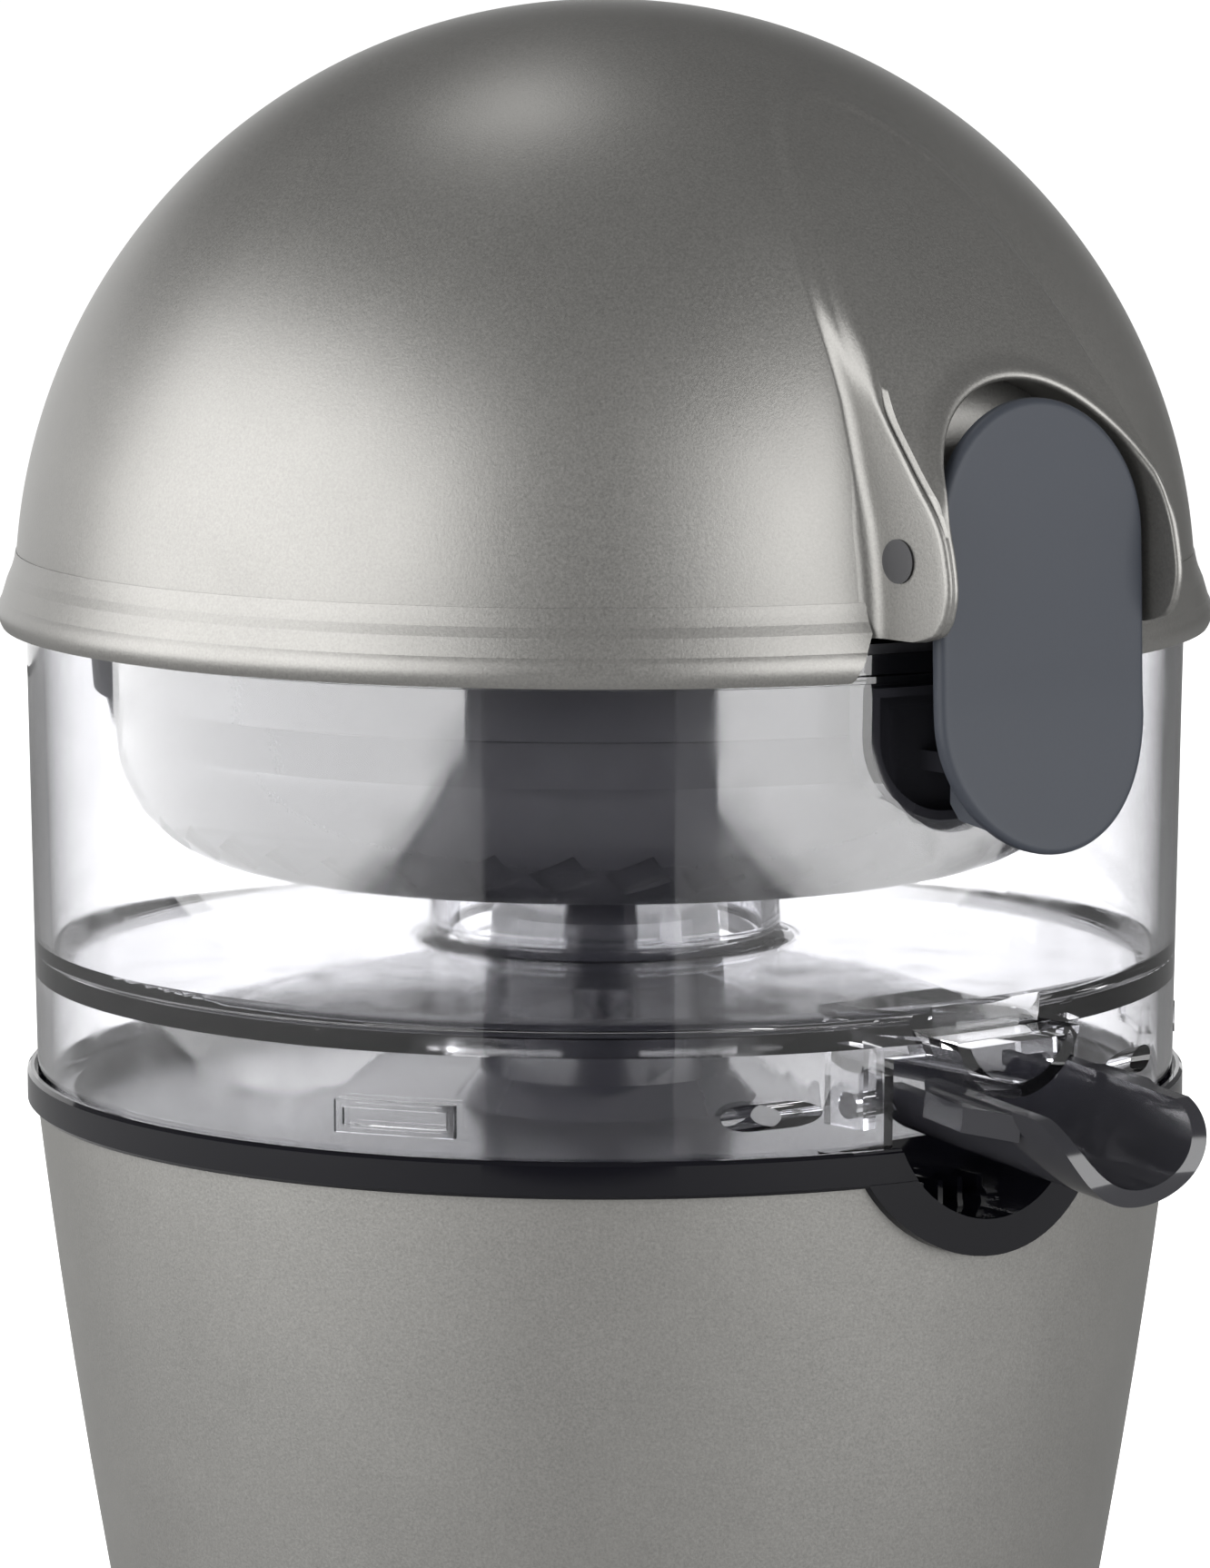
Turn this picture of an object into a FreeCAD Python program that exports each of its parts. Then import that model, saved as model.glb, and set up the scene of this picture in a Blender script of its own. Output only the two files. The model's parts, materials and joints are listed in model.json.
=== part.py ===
import FreeCAD, Part
import math
import os
from FreeCAD import Vector

# Citrus press juicer: motor base, clear juice bowl with a folding spout, and a domed press lid
# with a front latch and a rear hinge. Millimetres, +Z up, origin on the vertical axis where
# the foot ring stands. The front (spout and latch) faces -Y.

os.makedirs("parts", exist_ok=True)

# ---- driving dimensions ----
base_h = 134.5          # top edge of the painted body above the table
body_top_r = 90.4       # painted body, outer radius at its top edge
body_waist = 9.05       # how much narrower the body is half-way down
body_foot_in = 21.6     # how much narrower the body is at its bottom edge
body_wall = 2.5
foot_gap = 3.0          # body edge above the table
bowl_h = 76.0           # clear bowl, skirt edge to top edge
bowl_wall = 2.6
basket_depth = 40.5     # strainer, from the bowl's top edge to its flat underside
dome_lift = 86.0        # crown of the lid above the crease over its rim
lid_wall = 2.4
latch_half_w = 20.6
latch_len = 67.1
spout_in_r = 13.1
spout_wall = 2.7
shaft_r = 5.0
motor_r = 30.0
motor_len = 50.0
hinge_pin_r = 2.5

# ---- clearances ----
running = 0.05          # radial gap of a shaft or pin in its bore
slip = 0.3              # gap between shells that slide together
lift_gap = 0.4          # gap under parts that rest loosely

# ---- levels worked out from the driving dimensions ----
groove_z = base_h + 3.1             # floor of the groove that takes the bowl's skirt
ring_top = base_h + 5.6
skirt_z = groove_z + lift_gap
floor_z = base_h + 20.5             # underside of the bowl floor at the wall
floor_t = 2.5
bowl_top = skirt_z + bowl_h
basket_z = bowl_top - basket_depth
crease_z = bowl_top + 8.0
lid_r = body_top_r + 2.7            # radius of the round lid
lid_c = crease_z + dome_lift - lid_r    # centre of the lid's ball
bowl_r0 = body_top_r - 0.1          # bowl outer radius at the skirt
bowl_r1 = body_top_r + 1.1          # and at its top
chassis_z = base_h - 37.5           # underside of the chassis plate
chassis_t = 3.0
deck_t = 3.0
deck_z = base_h - deck_t
post_at = body_top_r - 32.4         # screw posts, distance from the axis
post_r = 5.0
far = 400.0                         # long enough to cut right through anything


# ---- small tools ----
def wire(points, place):
    """Closed outline. (a, b) is a corner; (a, b, c, d) is an arc through (a, b) to (c, d)."""
    edges = []
    last = place(*points[0][-2:])
    for p in points[1:] + points[:1]:
        end = place(*p[-2:])
        if len(p) == 4:
            edges.append(Part.Arc(last, place(*p[:2]), end).toShape())
        elif last.distanceToPoint(end) > 1e-6:
            edges.append(Part.makeLine(last, end))
        last = end
    return Part.Wire(edges)


def turn(points):
    face = Part.Face(wire(points, lambda r, z: Vector(r, 0, z)))
    return face.revolve(Vector(0, 0, 0), Vector(0, 0, 1), 360)


def slab_x(points, x0, x1):
    face = Part.Face(wire(points, lambda y, z: Vector(x0, y, z)))
    return face.extrude(Vector(x1 - x0, 0, 0))


def slab_y(points, y0, y1):
    face = Part.Face(wire(points, lambda x, z: Vector(x, y0, z)))
    return face.extrude(Vector(0, y1 - y0, 0))


def slab_z(points, z0, z1):
    face = Part.Face(wire(points, lambda x, y: Vector(x, y, z0)))
    return face.extrude(Vector(0, 0, z1 - z0))


def cyl(r, z0, z1, x=0.0, y=0.0):
    return Part.makeCylinder(r, z1 - z0, Vector(x, y, z0))


def tube(r_out, r_in, z0, z1, x=0.0, y=0.0):
    return cyl(r_out, z0, z1, x, y).cut(cyl(r_in, z0 - 1, z1 + 1, x, y))


def rod_x(r, x0, x1, y, z):
    return Part.makeCylinder(r, x1 - x0, Vector(x0, y, z), Vector(1, 0, 0))


def rod_y(r, y0, y1, x, z):
    return Part.makeCylinder(r, y1 - y0, Vector(x, y0, z), Vector(0, 1, 0))


def box(x0, x1, y0, y1, z0, z1):
    return Part.makeBox(x1 - x0, y1 - y0, z1 - z0, Vector(x0, y0, z0))


def ball(r, z):
    return Part.makeSphere(r, Vector(0, 0, z))


def fuse(*shapes):
    return shapes[0].multiFuse(list(shapes[1:])).removeSplitter()


def spin(shape, deg, x=0.0, y=0.0):
    out = shape.copy()
    out.rotate(Vector(x, y, 0), Vector(0, 0, 1), deg)
    return out


def around(shape, count, start=0.0, x=0.0, y=0.0):
    return [spin(shape, start + 360.0 * i / count, x, y) for i in range(count)]


def slide(shape, x=0.0, y=0.0, z=0.0):
    out = shape.copy()
    out.translate(Vector(x, y, z))
    return out


def screw(head_r, head_h, shank_r, length):
    """Pan screw standing on its head: the head fills 0..head_h and the shank goes on up."""
    drive = box(-head_r * 0.6, head_r * 0.6, -0.4, 0.4, -1, head_h * 0.45)
    cross = spin(drive, 90)
    return fuse(cyl(head_r, 0, head_h), cyl(shank_r, head_h, head_h + length)).cut(drive.fuse(cross))


def coil(mean_r, wire_r, z0, z1, turns, steps=14):
    """Closed coil of six-sided wire along Z between the two heights, in straight steps."""
    count = turns * steps
    rise = (z1 - z0 - 2 * wire_r) / count
    loops = []
    for i in range(count + 1):
        at = 2 * math.pi * i / steps
        loop = []
        for k in range(6):
            a = math.pi / 3 * k
            r = mean_r + wire_r * math.cos(a)
            loop.append(Vector(r * math.cos(at), r * math.sin(at),
                               z0 + wire_r + rise * i + wire_r * math.sin(a)))
        loops.append(loop)
    faces = [Part.Face(Part.makePolygon(loops[0] + loops[0][:1])),
             Part.Face(Part.makePolygon(loops[-1] + loops[-1][:1]))]
    for low, high in zip(loops, loops[1:]):
        for k in range(6):
            a, b, c, d = low[k], low[(k + 1) % 6], high[(k + 1) % 6], high[k]
            faces.append(Part.Face(Part.makePolygon([a, b, c, a])))
            faces.append(Part.Face(Part.makePolygon([a, c, d, a])))
    return Part.makeSolid(Part.makeShell(faces))


# ---- shared outer forms ----
body_mid_z = (base_h + foot_gap) / 2
body_foot_r = body_top_r - body_foot_in


def three_point_circle(p, q, s):
    (ax, ay), (bx, by), (cx, cy) = p, q, s
    d = 2 * (ax * (by - cy) + bx * (cy - ay) + cx * (ay - by))
    a2, b2, c2 = ax * ax + ay * ay, bx * bx + by * by, cx * cx + cy * cy
    ux = (a2 * (by - cy) + b2 * (cy - ay) + c2 * (ay - by)) / d
    uy = (a2 * (cx - bx) + b2 * (ax - cx) + c2 * (bx - ax)) / d
    return ux, uy, math.hypot(ax - ux, ay - uy)


body_arc = three_point_circle(
    (body_foot_r, foot_gap), (body_top_r - body_waist, body_mid_z), (body_top_r, base_h)
)


def body_r(z):
    """Outer radius of the painted body at height z."""
    cr, cz, big = body_arc
    return cr + math.sqrt(big * big - (z - cz) ** 2)


def body_solid(inset=0.0):
    """The body's full form, drawn in by an inset, from its foot to its top edge."""
    return turn([
        (0, foot_gap),
        (body_r(foot_gap) - inset, foot_gap),
        (body_r(body_mid_z) - inset, body_mid_z, body_r(base_h) - inset, base_h),
        (0, base_h),
    ])


def bowl_r(z):
    """Outer radius of the clear bowl, a little wider at its top."""
    return bowl_r0 + (bowl_r1 - bowl_r0) * (z - skirt_z) / bowl_h


def bowl_solid():
    return turn([(0, skirt_z), (bowl_r0, skirt_z), (bowl_r1, bowl_top), (0, bowl_top)])


# ---- base: casing ----
scoop_r = 19.3                      # finger scoop under the spout
scoop_c = base_h + 12.4
frame_r = 27.7                      # outer edge of the collar's dip round the scoop
frame_c = base_h + 15.2
scoop_back = body_top_r - 16.4
scoop_wall = 2.0
base_plate_t = 3.0
foot_r_out = body_foot_r - 6.8
foot_r_in = foot_r_out - 10.0
foot_seat = 1.0


def posts(r, z0, z1):
    return around(cyl(r, z0, z1, post_at, 0), 4, 45)


def body_shell():
    shell = body_solid().cut(body_solid(body_wall))
    ledge = turn([
        (body_r(deck_z) - body_wall - 4, deck_z - 3),
        (body_r(deck_z - 3) - body_wall + 0.5, deck_z - 6),
        (body_r(deck_z) - body_wall + 0.5, deck_z),
        (body_r(deck_z) - body_wall - 4, deck_z),
    ])
    rib_z = foot_gap + base_plate_t
    rib = tube(body_r(rib_z) - body_wall + 0.6, body_r(rib_z) - body_wall - 2.5, rib_z, rib_z + 2)
    shell = fuse(shell, ledge, rib)
    notch = rod_y(frame_r - 1.5, -far, -40, 0, frame_c)
    window = place_switch(box(-switch_w, switch_w, -40, 6, -switch_h, switch_h))
    inlet = rod_y(grommet_r, 20, far, 0, inlet_z)
    return shell.cut(notch).cut(window).cut(inlet)


def base_plate():
    z0, z1 = foot_gap, foot_gap + base_plate_t
    plate = cyl(body_r(foot_gap) - body_wall - slip, z0, z1)
    plate = fuse(plate, *posts(post_r, z1, chassis_z))
    seat = tube(foot_r_out + 0.01, foot_r_in - 0.01, z0 - 1, z0 + foot_seat)
    counterbores = posts(screw_head_r + slip, z0 - 1, z0 + 4)
    pilots = posts(screw_r, z0, z0 + pilot_len) + posts(screw_r, chassis_z - screw_len, chassis_z + 1)
    vent = box(16, 40, -1.6, 1.6, z0 - 1, z1 + 1)
    for hole in [seat] + counterbores + pilots + around(vent, 12, 15):
        plate = plate.cut(hole)
    return plate


def foot_ring():
    ring = tube(foot_r_out, foot_r_in, 0, foot_gap + foot_seat)
    groove = tube((foot_r_out + foot_r_in) / 2 + 1, (foot_r_out + foot_r_in) / 2 - 1, -1, 1)
    return ring.cut(groove)


def collar_ring():
    r = body_top_r + 1.6
    lip = r - 1.1
    ring = turn([
        (body_top_r - 5.9, base_h), (r - 0.6, base_h), (r, base_h + 0.6), (r, ring_top - 0.6),
        (r - 0.5, ring_top), (lip, ring_top), (lip, groove_z), (body_top_r - 5.9, groove_z),
    ])
    under = box(-60, 60, -far, 0, base_h - 60, ring_top)
    band = tube(r - 0.2, body_top_r - 5.9, base_h - 30, ring_top)
    face = band.common(rod_y(frame_r, -far, 0, 0, frame_c)).common(under).cut(body_solid())
    web = band.common(rod_y(frame_r - 1.6, -far, 0, 0, frame_c)).common(under)
    above = tube(lip, 10, groove_z, ring_top + 1)
    surround = fuse(face, web).cut(above)
    below = box(-60, 60, -far, 0, base_h - 60, groove_z)
    cup = rod_y(scoop_r + scoop_wall, -body_top_r + 4, -scoop_back + scoop_wall, 0, scoop_c).common(below)
    hollow = rod_y(scoop_r, -far, -scoop_back, 0, scoop_c)
    ribs = [box(x - 0.5, x + 0.5, -scoop_back - 5, -scoop_back, scoop_c - scoop_r + 0.2, base_h - 3)
            for x in (-8, -4, 0, 4, 8)]
    return fuse(ring.cut(hollow), fuse(surround, cup).cut(hollow), *ribs)


# ---- base: deck that carries the output shaft ----
boss_r = 20.0
boss_top = basket_z - 5.5
bush_r = 8.0
bush_len = 10.0
seal_h = 3.5


def deck():
    disc = cyl(body_r(deck_z) - body_wall - slip, deck_z, base_h)
    boss = turn([
        (0, base_h - 1), (boss_r + 4, base_h - 1), (boss_r + 4, base_h), (boss_r, base_h + 5),
        (boss_r - 2, boss_top - 4), (boss_r - 6, boss_top), (0, boss_top),
    ])
    shape = fuse(disc, boss, *posts(post_r, chassis_z + chassis_t, deck_z + 1))
    half = scoop_r + scoop_wall + slip
    pocket = box(-half, half, -far, -scoop_back + scoop_wall + slip, 0, far)
    holes = [cyl(bush_r, 0, far), pocket] + posts(screw_r, chassis_z, chassis_z + pilot_len)
    relief = tube(boss_r - 4.5, bush_r + 3, deck_z - 1, boss_top - 8)
    for hole in holes + [relief]:
        shape = shape.cut(hole)
    return shape


def shaft_bushes():
    low = tube(bush_r, shaft_r + running, deck_z, deck_z + bush_len)
    high = tube(bush_r, shaft_r + running, boss_top - seal_h - bush_len, boss_top - seal_h)
    return Part.makeCompound([low, high])


def shaft_seal():
    z0 = boss_top - seal_h
    return turn([
        (shaft_r + running, z0 + 1), (bush_r, z0), (bush_r, boss_top), (shaft_r + 1.5, boss_top),
        (shaft_r + running, boss_top + 1.2),
    ])


# ---- base: chassis, gearbox and motor ----
module = 1.0
pinion_teeth = 12
idler_teeth = 48
idler_small_teeth = 14
output_teeth = 56
axle_r = 3.0
gear_floor = 2.0
case_wall = 2.5
case_floor_z = chassis_z + chassis_t
stage1_z = case_floor_z + 4.0
stage1_w = 8.0
stage2_z = stage1_z + 11.0
stage2_w = 9.0
cover_z = case_floor_z + 27.0
cover_t = 2.0
case_room = 3.0                     # room round the gears inside the case
lug_out = 3.0                       # screw lugs beyond the case wall
case_lug_r = 4.5
motor_hole_r = 6.2
motor_screw_x = 20.0
idler_y = module * (idler_small_teeth + output_teeth) / 2
idler_to_motor = module * (pinion_teeth + idler_teeth) / 2
motor_y = idler_y - idler_to_motor
backlash = 0.12
screw_r = 1.6
screw_head_r = 3.2
screw_len = 14.0
pilot_len = screw_len + 4.0


def gear(teeth, z0, z1, tooth_at, x=0.0, y=0.0):
    """Involute spur gear, stub teeth, one tooth centred on the angle tooth_at in degrees."""
    pitch_r = module * teeth / 2
    base_r = pitch_r * math.cos(math.radians(20))
    tip_r, root_r = pitch_r + 0.78 * module, pitch_r - 1.05 * module
    half = (math.pi * module / 2 - backlash) / 2 / pitch_r
    lean = math.tan(math.radians(20)) - math.radians(20)
    radii = [max(base_r, root_r + 0.1) + (tip_r - max(base_r, root_r + 0.1)) * k / 4 for k in range(5)]

    def flank(r):
        roll = math.acos(min(1.0, base_r / r))
        return half + lean - (math.tan(roll) - roll)

    points = []
    for i in range(teeth):
        mid = math.radians(tooth_at) + 2 * math.pi * i / teeth
        side = [(root_r, flank(radii[0]))] + [(r, flank(r)) for r in radii]
        for r, a in side:
            points.append((r * math.cos(mid - a), r * math.sin(mid - a)))
        for r, a in reversed(side):
            points.append((r * math.cos(mid + a), r * math.sin(mid + a)))
    return slide(slab_z(points, z0, z1), x, y)


def case_outline(grow, z0, z1):
    out_r = module * output_teeth / 2 + case_room + grow
    idl_r = module * idler_teeth / 2 + case_room + grow
    lean = math.asin((out_r - idl_r) / idler_y)
    c, s = math.cos(lean), math.sin(lean)
    return slab_z([
        (out_r * c, out_r * s), (0, -out_r, -out_r * c, out_r * s),
        (-idl_r * c, idler_y + idl_r * s), (0, idler_y + idl_r, idl_r * c, idler_y + idl_r * s),
    ], z0, z1)


def case_screw_spots():
    reach = module * idler_teeth / 2 + case_room + case_wall + lug_out
    low = module * output_teeth / 2 + case_room + case_wall + lug_out
    return [(-reach, idler_y), (reach, idler_y), (-low, -4.0), (low, -4.0)]


def gearbox_case():
    lugs = [cyl(case_lug_r, case_floor_z, cover_z, x, y) for x, y in case_screw_spots()]
    case = fuse(case_outline(case_wall, case_floor_z, cover_z), *lugs)
    case = case.cut(case_outline(0, case_floor_z + gear_floor, cover_z + 1))
    holes = [cyl(screw_r, cover_z - 14, cover_z + 1, x, y) for x, y in case_screw_spots()]
    holes += [cyl(motor_hole_r, 0, far, 0, motor_y), cyl(axle_r, 0, far, 0, idler_y)]
    for hole in holes:
        case = case.cut(hole)
    return case


def gearbox_cover():
    lugs = [cyl(case_lug_r, cover_z, cover_z + cover_t, x, y) for x, y in case_screw_spots()]
    cover = fuse(case_outline(case_wall, cover_z, cover_z + cover_t), *lugs)
    holes = [cyl(screw_r, 0, far, x, y) for x, y in case_screw_spots()]
    for hole in holes + [cyl(shaft_r + 3, 0, far), cyl(axle_r, 0, far, 0, idler_y)]:
        cover = cover.cut(hole)
    return cover


def gearbox_screws():
    one = screw(2.8, 1.8, screw_r, 12)
    one.rotate(Vector(0, 0, 0), Vector(1, 0, 0), 180)
    top = cover_z + cover_t + 1.8
    return Part.makeCompound([slide(one, x, y, top) for x, y in case_screw_spots()])


def idler_axle():
    return cyl(axle_r, case_floor_z, cover_z + cover_t, 0, idler_y)


def idler_gear():
    small_at = 270.0
    large_at = 270.0 + 180.0 / idler_teeth
    large = gear(idler_teeth, stage1_z, stage1_z + stage1_w, large_at, 0, idler_y)
    small = gear(idler_small_teeth, stage1_z + 1, stage2_z + stage2_w + 1, small_at, 0, idler_y)
    hub = cyl(5.0, stage1_z - 1.5, stage1_z, 0, idler_y)
    dish = tube(18.5, 9.5, stage1_z - 1, stage1_z + 2.5, 0, idler_y)
    shape = large.cut(dish).fuse(small).fuse(hub)
    return shape.cut(cyl(axle_r + running, 0, far, 0, idler_y))


def output_gear():
    at = 90.0 + 180.0 / output_teeth
    wheel = gear(output_teeth, stage2_z, stage2_z + stage2_w, at)
    dish = tube(23, 11, stage2_z - 1, stage2_z + 2.5).fuse(
        tube(23, 11, stage2_z + stage2_w - 2.5, stage2_z + stage2_w + 1))
    return wheel.cut(dish).cut(cyl(shaft_r, 0, far))


def motor_pinion():
    wheel = gear(pinion_teeth, stage1_z - 0.5, stage1_z + stage1_w + 0.5, 90.0, 0, motor_y)
    return wheel.cut(cyl(motor_shaft_r, 0, far, 0, motor_y))


plate_head_r = 2.4                  # heads of the chassis screws, sunk in its plate
plate_head_h = 1.5


def chassis_plate():
    disc = cyl(body_r(chassis_z) - body_wall - lift_gap, chassis_z, chassis_z + chassis_t)
    holes = posts(screw_r, 0, far) + [cyl(motor_hole_r, 0, far, 0, motor_y)]
    holes += posts(plate_head_r, 0, chassis_z + chassis_t)
    holes += [cyl(screw_r, 0, far, x, motor_y) for x in (-motor_screw_x, motor_screw_x)]
    holes += around(cyl(5, 0, far, post_at + 12, 0), 4)
    for hole in holes:
        disc = disc.cut(hole)
    return disc


def chassis_screws():
    one = screw(plate_head_r, plate_head_h, screw_r, screw_len)
    one = slide(one, post_at, 0, chassis_z + chassis_t - plate_head_h)
    return Part.makeCompound(around(one, 4, 45))


def base_screws():
    one = slide(screw(screw_head_r, 2.2, screw_r, screw_len), post_at, 0, foot_gap + 1.6)
    return Part.makeCompound(around(one, 4, 45))


# motor heights, counted down from the chassis
motor_shaft_r = 2.5
end_t = 3.0
can_wall = 2.0
can_top = chassis_z - end_t
can_z = can_top - motor_len
core_r = 23.5
core_z = can_z + 14.0
core_len = 28.0
comm_z = can_z + 3.0
comm_len = 9.0
comm_r = 8.0
fan_z = core_z + core_len + 1.5
motor_boss_r = 5.0


def motor_can():
    can = tube(motor_r, motor_r - can_wall, can_z, can_top, 0, motor_y)
    end = cyl(motor_r, can_z, can_z + can_wall, 0, motor_y)
    boss = cyl(motor_boss_r + 2, can_z - 6, can_z, 0, motor_y)
    vent = slide(box(motor_r - 6, motor_r + 2, -4, 4, can_top - 10, can_top - 3), y=motor_y)
    can = fuse(can, end, boss).cut(cyl(motor_boss_r, 0, can_z + 3, 0, motor_y))
    for hole in around(vent, 6, 30, 0, motor_y):
        can = can.cut(hole)
    return can


def motor_endplate():
    plate = cyl(motor_r, can_top, chassis_z, 0, motor_y)
    plate = plate.cut(cyl(motor_boss_r, 0, far, 0, motor_y))
    for x in (-motor_screw_x, motor_screw_x):
        plate = plate.cut(cyl(screw_r, 0, far, x, motor_y))
    return plate


def motor_bushes():
    low = tube(motor_boss_r, motor_shaft_r + running, can_z - 6, can_z + 2)
    high = tube(motor_boss_r, motor_shaft_r + running, can_top - 2, case_floor_z + gear_floor)
    return slide(Part.makeCompound([low, high]), y=motor_y)


def motor_screws():
    low = chassis_z + chassis_t
    return Part.makeCompound([
        slide(cyl(screw_r, can_top, low, x, 0).fuse(cyl(2.8, can_top - 1.8, can_top, x, 0)), y=motor_y)
        for x in (-motor_screw_x, motor_screw_x)])


def motor_magnets():
    ring = tube(motor_r - can_wall, core_r + 1.0, core_z - 2, core_z + core_len + 2)
    gap = box(-60, 60, -9, 9, 0, far)
    return slide(Part.makeCompound(ring.cut(gap).Solids), y=motor_y)


def armature_core():
    core = tube(core_r, motor_shaft_r, core_z, core_z + core_len)
    slot = fuse(box(core_r - 3, core_r + 2, -1.2, 1.2, 0, far), cyl(2.8, 0, far, core_r - 6, 0))
    for cut in around(slot, 12):
        core = core.cut(cut)
    return slide(core, y=motor_y)


def motor_shaft():
    return cyl(motor_shaft_r, can_z - 5.5, stage1_z + stage1_w + 1, 0, motor_y)


def commutator():
    ring = tube(comm_r, motor_shaft_r, comm_z, comm_z + comm_len)
    for cut in around(box(comm_r - 1, comm_r + 1, -0.3, 0.3, 0, far), 12, 15):
        ring = ring.cut(cut)
    return slide(ring, y=motor_y)


def cooling_fan():
    hub = tube(7, motor_shaft_r, fan_z, fan_z + 4.5)
    blade = spin(box(6, core_r - 2, -0.6, 0.6, fan_z, fan_z + 4.5), 12, 6, 0)
    return slide(fuse(hub, *around(blade, 9)), y=motor_y)


def brush_at(x0, x1, half, z0, z1):
    pair = [box(x0, x1, -half, half, z0, z1), box(-x1, -x0, -half, half, z0, z1)]
    return slide(Part.makeCompound(pair), y=motor_y)


def brushes():
    return brush_at(comm_r + running, 17, 2.5, comm_z + 2, comm_z + 7)


def brush_holders():
    outer = brush_at(comm_r + 2.5, motor_r - can_wall - 1, 4, comm_z + 0.5, comm_z + 8.5)
    inner = brush_at(comm_r, 17.01, 2.5, comm_z + 2, comm_z + 7)
    return Part.makeCompound([s for s in outer.cut(inner).Solids])


def rectifier_board():
    z0 = can_z - 12
    y0 = motor_y + motor_r + 5.0
    board = box(-18, 18, y0, y0 + 1.6, z0, z0 + 24)
    parts = [box(x - 2.5, x + 2.5, y0 + 1.6, y0 + 5, z0 + 5, z0 + 11) for x in (-12, -4, 4, 12)]
    legs = [box(x - 2, x + 2, y0 - 1.5, y0 + 3, foot_gap + base_plate_t, z0) for x in (-15, 15)]
    return fuse(board, *legs, *parts)


# ---- base: rocker switch and cord inlet at the rear ----
switch_z = 44.0
switch_w = 8.0
switch_h = 11.5
rocker_w = 5.0
rocker_h = 7.8
rocker_in = 1.0         # pivot depth behind the bezel face
rest_tilt = 8.0
stub_r = 1.2
inlet_z = 17.0
cord_r = 4.0
grommet_r = 7.0


def place_switch(shape):
    """Lay a piece drawn with +Y outward on the body's leaning rear wall."""
    slope = math.degrees(math.atan((body_r(switch_z + 1) - body_r(switch_z - 1)) / 2))
    out = shape.copy()
    out.rotate(Vector(0, 0, 0), Vector(1, 0, 0), -slope)
    out.translate(Vector(0, body_r(switch_z), switch_z))
    return out


def switch_housing():
    case = box(-switch_w, switch_w, -15, 0.2, -switch_h, switch_h)
    bezel = box(-switch_w - 1.5, switch_w + 1.5, 0.2, 1.4, -switch_h - 1.5, switch_h + 1.5)
    tabs = [box(x - 0.4, x + 0.4, -20, -15, -6, 0) for x in (-4, 4)]
    shape = fuse(case, bezel, *tabs)
    shape = shape.cut(box(-rocker_w - slip, rocker_w + slip, -8, 5, -rocker_h - 1.2, rocker_h + 1.2))
    return place_switch(shape.cut(rod_x(stub_r + running, -6.4, 6.4, -rocker_in, 0)))


def power_rocker():
    shape = slab_x([
        (-4.5, -5.5), (1.8, -rocker_h), (0.9, 0, 1.8, rocker_h), (-4.5, 5.5), (-6, 0, -4.5, -5.5),
    ], -rocker_w, rocker_w)
    shape = fuse(shape, rod_x(stub_r, -6.2, 6.2, -rocker_in, 0))
    shape.rotate(Vector(0, -rocker_in, 0), Vector(1, 0, 0), rest_tilt)
    return place_switch(shape)


def cord_grommet():
    wall_y = body_r(inlet_z)
    sleeve = rod_y(grommet_r, wall_y - 10, wall_y + 5, 0, inlet_z)
    flange = rod_y(grommet_r + 1.8, wall_y + 2.0, wall_y + 5, 0, inlet_z)
    inner = rod_y(grommet_r + 1.5, wall_y - 10, wall_y - 6, 0, inlet_z)
    return fuse(sleeve, flange, inner).cut(rod_y(cord_r, 0, far, 0, inlet_z))


# ---- clear juice bowl ----
chimney_r = 28.0
chimney_wall = 2.5
chimney_top = basket_z - 1.0
floor_rise = 2.5                    # floor is this much higher at the chimney than at the wall
nozzle_r = 13.0
nozzle_wall = 2.2
nozzle_roof = 1.2                   # roof over the outlet's mouth, outside the wall
nozzle_c = floor_z + 4.5
nozzle_out = body_top_r + 5.6
nozzle_in = body_top_r - 26.0
gate_w = 18.5                       # half-width of the skirt's gate for the spout
gate_h = 15.4
seat_w = 23.0                       # half-width of the latch seat's window
seat_top = bowl_top - 5.0
seat_low = bowl_top - 25.3
seat_corner = 13.0
pivot_y = -(body_top_r - 9.4)       # spout hinge
pivot_z = base_h + 11.5
stub = 2.0
ear_in = 18.9
ear_out = 21.4


def seat_outline(inset):
    w, low, r = seat_w - inset, seat_low + inset, seat_corner - inset
    k = r * (1 - math.sqrt(0.5))
    return [
        (-w, seat_top - inset), (-w, low + r), (-w + k, low + k, -w + r, low),
        (w - r, low), (w - k, low + k, w, low + r), (w, seat_top - inset),
    ]


def twist_mark(deg):
    """Raised rectangle on the skirt that marks the twist lock."""
    frame = box(-9.5, 9.5, -bowl_r0 - 0.9, -bowl_r0 + 1.2, skirt_z + 5, skirt_z + 10)
    hollow = box(-8.3, 8.3, -bowl_r0 - 2, -bowl_r0 + 2, skirt_z + 6.2, skirt_z + 8.8)
    return spin(frame.cut(hollow), deg)


def nozzle_form():
    """Outer form of the outlet: the lower part of a level cylinder, up into the bowl floor."""
    form = rod_y(nozzle_r, -nozzle_out, -nozzle_in, 0, nozzle_c)
    return form.common(box(-30, 30, -far, 0, 0, floor_z + nozzle_roof))


def sump():
    """Room in the bowl floor, inside the wall, where the juice drops into the outlet."""
    room = rod_y(nozzle_r - nozzle_wall, -bowl_r0 + bowl_wall, -nozzle_in - nozzle_wall, 0, nozzle_c)
    return room.common(box(-30, 30, -far, 0, 0, floor_z + floor_t + 3))


def outlet_nozzle():
    mouth = rod_y(nozzle_r - nozzle_wall, -far, -bowl_r0 + bowl_wall + 1, 0, nozzle_c)
    return nozzle_form().cut(sump()).cut(mouth.common(box(-30, 30, -far, 0, 0, floor_z)))


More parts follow.
